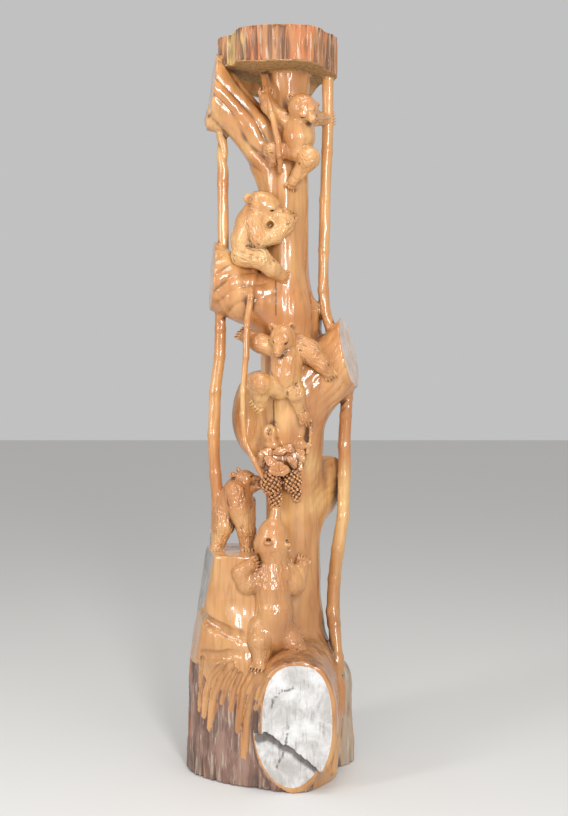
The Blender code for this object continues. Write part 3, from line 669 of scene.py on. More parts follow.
def log_relief(points, normals, bark, cut):
    """How far bark ridges and gouge marks move each point along its normal."""
    x, y, z = points.T
    angle = np.arctan2(y, x)
    unrolled = np.stack([angle * FOOT_RADIUS, np.hypot(x, y), z], axis=1)
    ridges = 1 - 2 * np.abs(noise(unrolled, (0.017, 0.2, 0.15)))
    fine = 1 - 2 * np.abs(noise(unrolled, (0.0085, 0.1, 0.06), 5.3))
    plates = noise(unrolled, (0.04, 0.3, 0.06), 9.1)
    bark_relief = BARK_RIDGE * ridges + 0.0022 * fine + 0.0022 * plates - BARK_SUNK
    gouge = GOUGE_DEPTH * noise(points, (0.019, 0.019, 0.07), 2.7)
    gouge += 0.0007 * noise(points, (0.009, 0.009, 0.03), 7.7)
    bark_share = smooth_step(-0.002, 0.004, bark)
    cut_share = smooth_step(-0.001, 0.001, cut)
    saw = SAW_DEPTH * noise(points, (0.012, 0.02, 0.012), 3.1)
    return (bark_relief * bark_share + gouge * (1 - bark_share)) * (1 - cut_share) + saw * cut_share


BRANCH_GROOVES = (  # start, end, height of a ridge, and the spacing of the ridges
    ((0.0, 0, 1.8), (-0.2, 0, 2.06), 0.006, 0.044),
    ((-0.02, 0, 1.5), (-0.2, 0, 1.42), 0.0045, 0.04),
    ((0.11, 0, 1.12), (0.24, 0, 1.26), 0.0022, 0.024),
    ((0.08, 0, 0.78), (0.18, 0, 0.88), 0.0015, 0.026),
)


def branch_grooves(points, normals):
    """Long gouge cuts that run out along the sawn branches."""
    total = np.zeros(len(points))
    for start, end, height, spacing in BRANCH_GROOVES:
        start, end = np.array(start), np.array(end)
        along = unit(end - start)
        across = unit(np.cross(along, (0, 1, 0)))
        length = np.linalg.norm(end - start)
        place = (points - start) @ along
        side = (points - start) @ across
        inside = smooth_step(-0.03, 0.05, place) * smooth_step(length + 0.03, length - 0.03, place)
        sideways = smooth_step(0.9, 0.5, np.abs(normals @ along))
        inside *= smooth_step(0.15, 0.1, segment_distance(points, start, end)) * sideways
        bent = side + 0.02 * noise(points, 0.09, 6.2) + 0.1 * side * place
        wave = np.abs(np.sin(math.pi * bent / spacing))
        total += height * inside * (wave - 0.6)
    return total


# Bears. Places are in shares of the bear's height from its hips: side, out and up. A joint has a radius too.
# A face is skull, nose, size of the head, thickness of the snout, the way its top looks, ears, their size.
# A paw is the way that its toes point and the way that its sole looks.
BODY_BLEND, LIMB_BLEND = 0.045, 0.03
FUR_DEPTH = 0.0017
BODY_FUR = 0.45  # depth of fur on a body as a share of that on the limbs
FLOOR_BEAR = {
    "body": ((0.02, 0, 0, 0.116), (0.03, 0.01, 0.14, 0.112), (0.02, 0, 0.3, 0.108),
        (0.02, -0.01, 0.4, 0.095), (0.02, -0.02, 0.48, 0.082),
        (0.013, -0.01, 0.575, 0.104), (0.02, -0.01, 0.655, 0.086)),
    "left arm": ((-0.06, -0.01, 0.4, 0.072), (-0.14, 0.02, 0.335, 0.066), (-0.185, 0.04, 0.405, 0.048),
        (-0.125, 0.07, 0.455, 0.042)),
    "right arm": ((0.1, -0.01, 0.4, 0.072), (0.155, -0.02, 0.325, 0.07), (0.185, -0.05, 0.38, 0.052),
        (0.21, -0.08, 0.43, 0.042)),
    "left leg": ((-0.06, 0.03, 0.05, 0.084), (-0.06, 0.08, -0.02, 0.07), (-0.05, 0.09, -0.09, 0.054),
        (-0.06, 0.12, -0.15, 0.046)),
    "right leg": ((0.11, 0.01, 0.02, 0.072), (0.15, 0.04, -0.04, 0.06), (0.195, 0.05, -0.1, 0.046),
        (0.2, 0.09, -0.15, 0.042)),
}
FLOOR_FACE = ((0.02, -0.01, 0.61), (0.042, -0.005, 0.81), 0.09, 1.25, (0, 1, 0.05),
    ((-0.006, 0.09, 0.6), (0.106, 0.04, 0.585)), 0.03)
FLOOR_PAWS = {"left arm": ((0.95, 0.0, 0.3), (0, -1, 0)), "right arm": ((0.3, -0.1, 1), (0, -1, 0)),
    "left leg": ((-0.5, 0.9, -0.3), (0, 0, -1)), "right leg": ((0.1, 0.9, -0.3), (0, 0, -1))}

LEDGE_BEAR = {
    "body": ((-0.01, 0, -0.03, 0.14), (0.08, 0, 0.08, 0.185), (0.13, 0, 0.17, 0.2),
        (0.18, 0.01, 0.31, 0.155), (0.21, 0.03, 0.38, 0.105)),
    "near arm": ((0.13, 0.13, 0.27, 0.135), (0.17, 0.15, 0.06, 0.125), (0.25, 0.15, -0.2, 0.098),
        (0.27, 0.16, -0.4, 0.078)),
    "far leg": ((0.28, -0.08, 0.12, 0.092), (0.3, -0.08, -0.22, 0.075), (0.3, -0.06, -0.42, 0.064)),
    "reaching arm": ((0.25, -0.04, 0.28, 0.085), (0.33, 0.02, 0.3, 0.064), (0.4, 0.08, 0.33, 0.054)),
    "near leg": ((-0.03, 0.05, 0.0, 0.118), (-0.01, 0.09, -0.16, 0.12), (-0.06, 0.09, -0.31, 0.088),
        (-0.09, 0.12, -0.42, 0.074)),
}
LEDGE_FACE = ((0.245, 0.05, 0.425), (0.435, 0.1, 0.415), 0.1, 1.1, (0.1, 0.1, 1),
    ((0.095, 0.1, 0.465), (0.165, -0.03, 0.51)), 0.038)
LEDGE_PAWS = {"near arm": ((0.3, 0.9, -0.1), (0, 0, -1)), "far leg": ((0.7, 0.6, -0.1), (0, 0, -1)),
    "reaching arm": ((1, 0.3, 0.2), (0, -0.4, -1)), "near leg": ((0.2, 1, -0.1), (0, 0, -1))}

MIDDLE_BEAR = {
    "body": ((0, 0, 0, 0.115), (0.05, 0.03, 0.12, 0.145), (0.07, 0.03, 0.27, 0.15), (0.06, 0, 0.38, 0.145),
        (0.05, 0.03, 0.45, 0.116)),
    "left arm": ((-0.07, -0.02, 0.4, 0.1), (-0.2, -0.08, 0.44, 0.095), (-0.3, -0.13, 0.49, 0.082),
        (-0.33, -0.14, 0.51, 0.072)),
    "right arm": ((0.18, -0.01, 0.42, 0.12), (0.31, 0.02, 0.34, 0.112), (0.41, 0.03, 0.23, 0.084),
        (0.47, 0.03, 0.16, 0.062)),
    "left leg": ((-0.06, 0.0, 0.02, 0.112), (-0.2, 0.1, 0.04, 0.108), (-0.19, 0.04, -0.08, 0.074),
        (-0.19, 0, -0.14, 0.066)),
    "right leg": ((0.13, 0.03, -0.01, 0.104), (0.16, 0.09, -0.06, 0.084), (0.2, 0.03, -0.2, 0.06),
        (0.24, 0.03, -0.29, 0.056)),
}
MIDDLE_FACE = ((0.026, 0.1, 0.5), (-0.038, 0.26, 0.32), 0.124, 1.25, (-0.1, 0.75, 0.65),
    ((-0.075, 0.09, 0.595), (0.105, 0.09, 0.595)), 0.046)
MIDDLE_PAWS = {"left arm": ((-0.8, 0.2, 0.5), (0, 0.6, -0.5)), "right arm": ((0.5, 0, -1), (0.3, -0.9, 0)),
    "left leg": ((-0.8, 0.1, -0.6), (0, -1, 0)), "right leg": ((0.2, 0.1, -1), (0, -1, 0))}

SIDE_BEAR = {
    "body": ((0, 0, 0, 0.139), (0.01, 0.04, 0.16, 0.172), (0.06, 0.07, 0.33, 0.17),
        (0.11, 0.09, 0.45, 0.145)),
    "near arm": ((0.1, 0.17, 0.35, 0.12), (0.15, 0.23, 0.14, 0.09), (0.31, 0.2, 0.19, 0.084),
        (0.42, 0.15, 0.29, 0.086), (0.44, 0.14, 0.36, 0.078)),
    "far arm": ((0.22, 0.07, 0.4, 0.1), (0.34, 0.07, 0.38, 0.075)),
    "leg": ((-0.03, 0.11, -0.01, 0.13), (0.15, 0.21, -0.05, 0.11), (0.28, 0.18, -0.16, 0.086),
        (0.38, 0.12, -0.23, 0.064)),
}
SIDE_FACE = ((0.175, 0.12, 0.53), (0.365, 0.15, 0.42), 0.158, 1.15, (-0.4, 0.35, 0.85),
    ((0.03, 0.27, 0.575), (0.15, 0.09, 0.68)), 0.056)
SIDE_PAWS = {"near arm": ((0.5, -0.3, 0.9), (0.3, -1, 0)), "leg": ((1, -0.3, -0.2), (0, -1, 0))}

TOP_BEAR = {
    "body": ((0, 0, 0, 0.122), (0.02, 0.02, 0.12, 0.155), (0.02, 0, 0.22, 0.145), (0.04, 0.02, 0.32, 0.12)),
    "left arm": ((-0.1, -0.02, 0.3, 0.095), (-0.2, -0.05, 0.36, 0.084), (-0.29, -0.06, 0.46, 0.076),
        (-0.32, -0.07, 0.54, 0.07)),
    "right arm": ((0.14, -0.05, 0.33, 0.09), (0.21, -0.2, 0.36, 0.074), (0.3, -0.33, 0.37, 0.066)),
    "left leg": ((-0.08, -0.02, 0, 0.094), (-0.17, 0.03, -0.02, 0.082), (-0.26, 0.02, -0.01, 0.078),
        (-0.23, 0, -0.09, 0.06)),
    "right leg": ((0.06, 0.02, -0.03, 0.106), (0.12, 0.08, -0.1, 0.112), (0.03, 0.0, -0.23, 0.072),
        (-0.04, -0.04, -0.32, 0.06)),
}
TOP_FACE = ((0.053, 0.09, 0.41), (0.17, 0.18, 0.26), 0.144, 1.1, (-0.25, 0.85, 0.45),
    ((-0.06, 0.1, 0.515), (0.19, 0.06, 0.44)), 0.04)
TOP_PAWS = {"left arm": ((0, 0.1, 1), (0.3, 0.9, 0)), "right arm": ((0.9, -0.1, 0.1), (0, 1, 0)),
    "left leg": ((0.3, -0.2, -1), (0, -1, 0)), "right leg": ((-0.3, -0.2, -1), (0, -1, 0))}


def side_out_up(vector):
    """A direction or an offset given as side, out and up, in the column's own axes."""
    return np.array((vector[0], -vector[1], vector[2]), float)


def head(block, hips, height, skull, nose, size, snout, top, ears, ear_size):
    """Skull, cheeks, snout, jaw, nose, eyes and ears. snout is how thick the muzzle is, from about 1."""
    skull = hips + side_out_up(skull) * height
    nose = hips + side_out_up(nose) * height
    size, ear_size = size * height, ear_size * height
    length = np.linalg.norm(nose - skull)
    ahead = unit(nose - skull)
    side = unit(np.cross(ahead, side_out_up(top)))
    over = np.cross(side, ahead)

    def spot(start, forward, upward=0.0, aside=0.0):
        return start + forward * size * ahead + upward * size * over + aside * size * side

    def lump(shape, place, radii, blend):
        shape(egg(place, [radius * size for radius in radii], (side, ahead, over)), blend * size)

    lump(block.add, skull, (1, 1.08, 0.96), 0.1)
    for turn in (-1, 1):
        lump(block.add, spot(skull, 0.3, -0.26, turn * 0.5), (0.52, 0.6, 0.55), 0.22)
        lump(block.add, spot(skull, 0.74, 0.42, turn * 0.34), (0.26, 0.3, 0.2), 0.16)
    tip = spot(nose, -0.22 * snout)
    block.add(rod(spot(skull, 0.55, 0.02), tip, 0.5 * snout * size, 0.29 * snout * size), 0.2 * size)
    chin = spot(tip - 0.26 * snout * size * over, -0.1)
    block.add(rod(spot(skull, 0.45, -0.46), chin, 0.34 * size, 0.17 * snout * size), 0.08 * size)
    lump(block.add, spot(nose, -0.08, 0.12 * snout), (0.24 * snout, 0.15, 0.17), 0.04)
    for turn in (-1, 1):
        eye = spot(skull + max(0.42 * length, 0.78 * size) * ahead, 0.0, 0.3, turn * 0.43)
        lump(block.cut, eye, (0.16, 0.2, 0.12), 0.06)
        lump(block.add, spot(eye, -0.04), (0.115, 0.13, 0.1), 0.01)
        lump(block.cut, spot(nose, 0.05, 0.1, turn * 0.11 * snout), (0.05, 0.08, 0.05), 0.02)
        corner = spot(skull + 0.5 * length * ahead, 0.0, -0.3, turn * 0.46 * snout)
        lip = spot(nose - 0.2 * snout * size * over, -0.14, 0.0, turn * 0.13 * snout)
        block.cut(rod(corner, lip, 0.045 * size, 0.035 * size), 0.03 * size)
    for place in ears:
        ear(block, skull, size, hips + side_out_up(place) * height, ear_size, ahead)


def ear(block, skull, skull_size, place, size, ahead):
    """A round ear with a shallow hollow that looks ahead."""
    away = unit(place - skull)
    flat = unit(ahead - (ahead @ away) * away)
    axes = (np.cross(away, flat), flat, away)
    block.add(rod(skull + 0.6 * skull_size * away, place, 0.85 * size, 0.75 * size), 0.5 * size)
    block.add(egg(place, (size, 0.6 * size, 1.12 * size), axes), 0.2 * size)
    hollow = place + 0.62 * size * flat + 0.12 * size * away
    block.cut(egg(hollow, (0.56 * size, 0.26 * size, 0.64 * size), axes), 0.16 * size)


def paw(block, place, radius, ahead, inward):
    """Five toes with claws. inward is the way that the sole looks."""
    ahead, inward = unit(side_out_up(ahead)), side_out_up(inward)
    side = unit(np.cross(ahead, inward))
    inward = np.cross(side, ahead)
    for i in range(-2, 3):
        start = place + side * (0.36 * i * radius)
        reach_out = (1.05 - 0.08 * abs(i)) * radius
        end = place + side * (0.48 * i * radius) + ahead * reach_out + inward * (0.12 * radius)
        block.add(rod(start, end, 0.32 * radius, 0.27 * radius), 0.04 * radius)
        claw = end + ahead * (0.6 * radius) + inward * (0.28 * radius)
        block.add(rod(end + ahead * (0.1 * radius), claw, 0.19 * radius, 0.1 * radius), 0.03 * radius)


def bear_block(hips, height, pose, face, paws, fills, step):
    """One bear's wood, and its chains of joints in metres. Each of fills is (place, radii, is it a hole)."""
    chains = {}
    for name, chain in pose.items():
        chains[name] = [(hips + side_out_up(joint[:3]) * height, joint[3] * height) for joint in chain]
    places = np.array([place for chain in chains.values() for place, _ in chain])
    _, nose, *_ = face
    places = np.vstack([places, hips + side_out_up(nose) * height])
    margin = 0.19 * height
    block = Block(places.min(axis=0) - margin, places.max(axis=0) + margin, step)
    for name, chain in chains.items():
        for form in rods(chain):
            block.add(form, (BODY_BLEND if name == "body" else LIMB_BLEND) * height)
    head(block, hips, height, *face)
    for place, radii, is_hole in fills:
        form = egg(hips + side_out_up(place) * height, np.array(radii) * height)
        if is_hole:
            block.cut(form, 0.01 * height)
        else:
            block.add(form, 0.05 * height)
    for name, (ahead, inward) in paws.items():
        place, radius = chains[name][-1]
        paw(block, place, radius, ahead, inward)
    return block, chains


def strands(points, chains):
    """Each point's place along and across its nearest limb, and how furry it is there."""
    nearest = np.full(len(points), 1e9)
    local = np.zeros((len(points), 3))
    depth = np.zeros(len(points))
    for name, chain in chains.items():
        for (start, start_radius), (end, end_radius) in zip(chain, chain[1:]):
            away = segment_distance(points, start, end) - 0.5 * (start_radius + end_radius)
            along = unit(end - start)
            across = unit(np.cross(along, (0.3, -0.9, 0.2)))
            third = np.cross(along, across)
            frame_axes = np.stack([along, across, third], axis=1)
            closer = away < nearest
            local = np.where(closer[:, None], points @ frame_axes, local)
            depth = np.where(closer, BODY_FUR if name == "body" else 1.0, depth)
            nearest = np.where(closer, away, nearest)
    return local, depth


def fur_relief(points, local, depth, height):
    """Locks of fur that run along the nearest limb, deeper on the limbs than on the back."""
    wavy = local + 0.003 * noise(points, 0.02, 8.8)[:, None]
    locks = 1 - 2 * np.abs(noise(wavy, (0.024, 0.0085, 0.0085)))
    tufts = 1 - 2 * np.abs(noise(wavy, (0.014, 0.006, 0.006), 4.4))
    patches = 0.35 + 0.65 * smooth_step(-0.15, 0.15, noise(points, 0.16 * height, 1.9))
    return FUR_DEPTH * depth * (locks + 0.8 * tufts - 0.8) * patches


# Leaves and grapes, on the front of the trunk


def leaf(block, place, size, turn_degrees, lean=0.0):
    """A vine leaf with round lobes and veins, domed and open like a fan."""
    turn = math.radians(turn_degrees)
    up = unit((math.sin(turn), -lean, math.cos(turn)))
    out = unit(np.cross(np.cross(up, (0, -1, 0)), up))
    side = np.cross(up, out)

    def distance(x, y, z):
        x, y, z = x - place[0], y - place[1], z - place[2]
        across = dot(x, y, z, side)
        along = dot(x, y, z, up) + 0.5 * size
        off = dot(x, y, z, out)
        angle = np.arctan2(across, along)
        radius = np.sqrt(across * across + along * along)
        wave = np.abs(np.cos(2.5 * angle))
        edge = size * (1.02 + 0.2 * wave ** 0.7)
        edge = edge * (1 - 0.6 * smooth_step(1.3, 2.8, np.abs(angle)))
        share = radius / edge
        crown = 0.34 * size * np.clip(1 - share * share, -1, 1)
        beside = (1 - wave) * radius / (0.03 * size)
        vein = 0.09 * size * np.exp(-(beside ** 2)) * smooth_step(1.0, 0.6, share)
        sheet = np.abs(off - 0.5 * crown) - 0.09 * size - 0.3 * crown + vein
        return smooth_max(sheet * 0.75, (radius - edge) * 0.6, 0.05 * size)

    block.add((place - 1.5 * size, place + 1.5 * size, distance), 0.0015)


LEAVES = (  # side from the trunk's middle and out from its front, height, size, turn in degrees, lean
    (-0.086, 0.01, 0.944, 0.025, -60, 0.2),
    (-0.068, 0.022, 0.925, 0.019, -150, 0.4),
    (-0.098, 0.012, 0.921, 0.014, -120, 0.3),
    (-0.041, 0.006, 0.958, 0.018, -10, 0.1),
    (-0.012, 0.004, 0.966, 0.017, 20, 0.1),
    (-0.042, 0.026, 0.908, 0.027, 0, -0.3),
    (0.0, 0.012, 0.925, 0.019, 60, 0.2),
    (0.025, 0.0, 0.934, 0.017, 70, 0.1),
    (0.019, 0.008, 0.906, 0.015, 120, 0.3),
    (0.022, 0.0, 0.96, 0.016, 40, 0.0),
)
BUNCHES = (  # side, out and height of the middle, then its three radii
    (-0.066, 0.02, 0.862, 0.0285, 0.024, 0.034),
    (-0.054, 0.018, 0.815, 0.0175, 0.017, 0.03),
    (-0.004, 0.012, 0.868, 0.027, 0.022, 0.031),
    (0.01, 0.008, 0.826, 0.0125, 0.012, 0.02),
)
BERRY_RADIUS = 0.0053


def bunch(block, middle, radii):
    """Berries laid in a spiral over an egg-shaped core."""
    radii = np.asarray(radii)
    block.add(egg(middle, radii - 0.7 * BERRY_RADIUS), 0.003)
    area = 4 * math.pi * (radii[0] * radii[2] + radii[0] * radii[1] + radii[1] * radii[2]) / 3
    count = int(area / (3.7 * BERRY_RADIUS ** 2))
    for i in range(count):
        up = 1 - 2 * (i + 0.5) / count
        angle = i * math.radians(137.508)
        flat = math.sqrt(1 - up * up)
        bump = 1 + 0.05 * math.sin(5.1 * i)
        place = middle + radii * bump * (flat * math.cos(angle), flat * math.sin(angle), up)
        block.add(egg(place, (BERRY_RADIUS,) * 3), 0.0004)


def fruit_block():
    block = Block((-0.085, -0.19, 0.765), (0.125, -0.05, 1.0), FRUIT_STEP)
    block.add(egg(on_trunk(0.915, -0.06, -0.02), (0.05, 0.034, 0.06)), 0.004)
    block.add(egg(on_trunk(0.93, -0.002, -0.03), (0.055, 0.04, 0.048)), 0.004)
    for side, out, height, size, turn, lean in LEAVES:
        leaf(block, on_trunk(height, side, out), size, turn, lean)
    for side, out, height, *radii in BUNCHES:
        bunch(block, on_trunk(height, side, out), radii)
    return block


# Meshes


def thinned(points, quads, most):
    """Points and triangles of the same surface, with at most this many triangles."""
    mesh = bpy.data.meshes.new("working")
    fill_mesh(mesh, points, quads)
    piece = bpy.data.objects.new("working", mesh)
    bpy.context.scene.collection.objects.link(piece)
    modifier = piece.modifiers.new("thin", "DECIMATE")
    modifier.ratio = min(1.0, most / (2 * len(quads)))
    found = piece.evaluated_get(bpy.context.evaluated_depsgraph_get()).to_mesh()
    found.calc_loop_triangles()
    corners = np.empty(3 * len(found.loop_triangles), np.int32)
    found.loop_triangles.foreach_get("vertices", corners)
    places = np.empty(3 * len(found.vertices), np.float32)
    found.vertices.foreach_get("co", places)
    bpy.data.objects.remove(piece)
    bpy.data.meshes.remove(mesh)
    return places.reshape(-1, 3).astype(np.float64), corners.reshape(-1, 3).astype(np.int64)


def fill_mesh(mesh, points, faces):
    mesh.vertices.add(len(points))
    mesh.vertices.foreach_set("co", points.astype(np.float32).ravel())
    mesh.loops.add(faces.size)
    mesh.loops.foreach_set("vertex_index", faces.astype(np.int32).ravel())
    mesh.polygons.add(len(faces))
    mesh.polygons.foreach_set("loop_start", np.arange(0, faces.size, faces.shape[1], dtype=np.int32))
    mesh.update(calc_edges=True)


def mesh_object(name, points, faces, values, material):
    """A smooth-shaded piece with these values kept on its points for the material."""
    mesh = bpy.data.meshes.new(name)
    fill_mesh(mesh, points, faces)
    mesh.validate()
    mesh.shade_smooth()
    for key, value in values.items():
        kind, field = ("FLOAT_VECTOR", "vector") if value.ndim == 2 else ("FLOAT", "value")
        layer = mesh.attributes.new(key, kind, "POINT")
        layer.data.foreach_set(field, value.astype(np.float32).ravel())
    piece = bpy.data.objects.new(name, mesh)
    bpy.context.scene.collection.objects.link(piece)
    piece.data.materials.append(material)
    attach(piece, "root")
    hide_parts("carved_column")
    return piece


def make_log(material):
    block, paths = log_block()
    points, quads = block.skin()
    normals = normals_of(points, quads)
    bark, cut = bark_edge(points, normals, paths), cut_edge(points, normals)
    relief = log_relief(points, normals, bark, cut)
    relief += branch_grooves(points, normals) * (1 - smooth_step(-0.001, 0.001, cut))
    points = points + normals * relief[:, None]
    points[:, 2] = np.clip(points[:, 2], 0.0, HEIGHT)
    points, faces = thinned(points, quads, LOG_TRIANGLES)
    normals = normals_of(points, faces)
    cut = cut_edge(points, normals)
    values = {
        "bark": bark_edge(points, normals, paths),
        "cut": cut,
        "dark": dark_marks_and_step_shade(points, cut),
        "crevice_shade": crevice_shade_of(block, points, normals),
    }
    middles = points[faces].mean(axis=1)[:, 2]
    edges = (-math.inf, *LOG_SEAMS, math.inf)
    for name, low, high in zip(("foot", "trunk", "crown"), edges, edges[1:]):
        chosen = faces[(middles >= low) & (middles < high)]
        used, index = np.unique(chosen, return_inverse=True)
        part = {key: value[used] for key, value in values.items()}
        piece = mesh_object(name, points[used], index.reshape(-1, 3), part, material)
        piece.data.normals_split_custom_set_from_vertices(normals[used].astype(np.float32))


def make_bear(name, hips, height, pose, face, paws, fills, step, material):
    block, chains = bear_block(hips, height, pose, face, paws, fills, step)
    points, quads = block.skin()
    normals = normals_of(points, quads)
    local, depth = strands(points, chains)
    points = points + normals * fur_relief(points, local, depth, height)[:, None]
    points, faces = thinned(points, quads, BEAR_TRIANGLES)
    local, depth = strands(points, chains)
    values = plain_values(block, points, faces) | {"fur": depth, "strand": local}
    mesh_object(name, points, faces, values, material)


def plain_values(block, points, faces):
    """Values for a piece that has neither bark nor a saw cut."""
    outside = np.full(len(points), -0.05)
    return {"crevice_shade": crevice_shade_of(block, points, normals_of(points, faces)), "bark": outside, "cut": outside}


def make_fruit(material):
    block = fruit_block()
    points, faces = thinned(*block.skin(), FRUIT_TRIANGLES)
    mesh_object("vine_leaves_and_grapes", points, faces, plain_values(block, points, faces), material)


# Material


class Nodes:
    """Short calls for the nodes of one material."""

    def __init__(self, name):
        self.material = bpy.data.materials.new(name)
        self.material.use_nodes = True
        self.tree = self.material.node_tree
        self.surface = self.tree.nodes["Principled BSDF"]

    def add(self, kind, settings=None, **inputs):
        node = self.tree.nodes.new(kind)
        for key, value in (settings or {}).items():
            setattr(node, key, value)
        for key, value in inputs.items():
            self.put(node.inputs[key.replace("_", " ")], value)
        return node

    def put(self, socket, value):
        if isinstance(value, bpy.types.NodeSocket):
            self.tree.links.new(value, socket)
        else:
            socket.default_value = value

    def math(self, operation, *values):
        node = self.tree.nodes.new("ShaderNodeMath")
        node.operation = operation
        for socket, value in zip(node.inputs, values):
            self.put(socket, value)
        return node.outputs[0]

    def mix(self, share, first, second, blend="MIX"):
        node = self.tree.nodes.new("ShaderNodeMix")
        node.data_type = "RGBA"
        node.blend_type = blend
        self.put(node.inputs["Factor"], share)
        self.put(node.inputs["A"], first)
        self.put(node.inputs["B"], second)
        return node.outputs["Result"]

    def times(self, first, second):
        return self.math("MULTIPLY", first, second)

    def plus(self, first, second):
        return self.math("ADD", first, second)

    def tinted(self, base, tints):
        """The base with each of these laid over it. A tint is (where, how much, colour)."""
        for where, amount, text in tints:
            base = self.mix(self.times(where, amount), base, colour(text))
        return base

    def noise(self, coordinates, scale, detail=4.0, rough=0.55, distort=0.0):
        settings = dict(Scale=scale, Detail=detail, Roughness=rough, Distortion=distort)
        return self.add("ShaderNodeTexNoise", Vector=coordinates, **settings).outputs["Fac"]

    def stretched(self, coordinates, scale):
        return self.add("ShaderNodeMapping", Vector=coordinates, Scale=scale).outputs["Vector"]

    def grained(self, place, shrink, *settings):
        """Noise drawn out along the log. shrink is its scale along the log as a share of the rest."""
        return self.noise(self.stretched(place, (1.0, 1.0, shrink)), *settings)

    def ramp(self, value, low, high):
        node = self.add("ShaderNodeMapRange", {"interpolation_type": "SMOOTHSTEP"}, Value=value)
        node.inputs["From Min"].default_value = low
        node.inputs["From Max"].default_value = high
        return node.outputs["Result"]

    def attribute(self, name):
        return self.add("ShaderNodeAttribute", {"attribute_name": name}).outputs["Fac"]


def colour(text):
    """Linear colour from the hexadecimal form of a display colour."""
    parts = [int(text[i:i + 2], 16) / 255 for i in (0, 2, 4)]
    return tuple(p / 12.92 if p <= 0.04045 else ((p + 0.055) / 1.055) ** 2.4 for p in parts) + (1.0,)


def wood_colour(n, place, height_up, grain, figure, crevice_shade):
    tone = n.grained(place, 0.45, 5.5, 3.0, 0.5, 0.6)
    wood = n.mix(n.ramp(tone, 0.36, 0.62), colour("D8A166"), colour("BE804C"))
    wood = n.mix(n.ramp(n.noise(place, 3.1, 2.0), 0.52, 0.68), wood, colour("DDB074"))
    return n.tinted(wood, (
        (n.ramp(height_up, 0.85, 0.35), 0.38, "A5764C"),
        (n.ramp(figure, 0.45, 0.72), 0.45, "95602F"),
        (n.ramp(grain, 0.52, 0.75), 0.32, "7A4A26"),
        # Painted shade: darker brown in the crevices, by how deep they lie
        (n.ramp(crevice_shade, 0.18, 0.7), 0.9, "52301A"),
    ))


def bark_colour(n, place, side, height_up, tone, streaks, crevice_shade):
    """Bark is brown, greyer at the foot's right, and shows more of the wood on the cap."""
    high = n.ramp(height_up, 1.9, 2.0)
    right = n.times(n.ramp(side, 0.15, 0.2), n.ramp(height_up, 0.5, 0.4))
    patches = n.plus(n.grained(place, 0.4, 8.0, 4.0, 0.6, 0.5), n.times(high, 0.07))
    sapwood = n.plus(n.grained(place, 0.15, 12.0, 3.0, 0.55, 0.3), n.times(high, 0.05))
    bark = n.mix(n.ramp(tone, 0.4, 0.6), colour("7C5D50"), colour("98786A"))
    return n.tinted(bark, (
        (high, 0.6, "C8894F"),
        (n.ramp(patches, 0.55, 0.64), 0.75, "BD7040"),
        (n.ramp(sapwood, 0.6, 0.67), 0.85, "DDB873"),
        (right, 0.65, "BBAC94"),
        (n.ramp(streaks, 0.53, 0.64), 0.6, "C8BBA8"),
        # Painted shade: darker in the bark's crevices, by how deep they lie
        (n.ramp(crevice_shade, 0.2, 0.75), 0.7, "4A332A"),
    ))


def sawn_colour(n, place, height_up):
    rings = n.noise(place, 14.0, 8.0, 0.7, 0.4)
    scratches = n.grained(place, 0.12, 160.0, 4.0, 0.6)
    sawn = n.mix(n.ramp(rings, 0.35, 0.68), colour("DEDDDC"), colour("B2AEAA"))
    return n.tinted(sawn, (
        (n.ramp(scratches, 0.52, 0.72), 0.5, "7F7972"),
        (n.ramp(height_up, 0.9, 1.0), 0.45, "D2AE95"),
    ))


def add_varnish(n, grain, bark_share, cut_share, under):
    """Glossy on the carved wood, dull on bark and saw cuts."""
    dull = n.math("MAXIMUM", n.times(bark_share, 0.62), n.times(cut_share, 0.85))
    dull = n.math("MAXIMUM", dull, n.times(under, 0.85))
    n.put(n.surface.inputs["Roughness"], n.math("MAXIMUM", dull, n.plus(0.24, n.times(grain, 0.1))))
    clear = n.math("SUBTRACT", 0.75, n.times(dull, 0.85))
    n.put(n.surface.inputs["Coat Weight"], n.math("MAXIMUM", clear, 0.0))
    n.surface.inputs["Coat Roughness"].default_value = 0.07
    n.surface.inputs["Coat IOR"].default_value = 1.5
    n.surface.inputs["Specular IOR Level"].default_value = 0.45


def add_bump(n, grain, figure, bark_tone, streaks, bark_share):
    """Fine grain, rougher bark, and hairs that run along the bears' limbs."""
    wood_lift = n.plus(n.times(grain, 0.35), n.times(figure, 0.25))
    bark_lift = n.times(n.plus(bark_tone, n.times(streaks, 0.8)), n.times(bark_share, 3.0))
    strand = n.add("ShaderNodeAttribute", {"attribute_name": "strand"}).outputs["Vector"]
    hairs = n.noise(n.stretched(strand, (60.0, 230.0, 230.0)), 1.0, 3.0, 0.6)
    fur_lift = n.times(n.times(hairs, n.attribute("fur")), 3.2)
    height = n.plus(n.plus(wood_lift, bark_lift), fur_lift)
    bump = n.add("ShaderNodeBump", Strength=0.55, Distance=0.0016, Height=height)
    n.put(n.surface.inputs["Normal"], bump.outputs["Normal"])


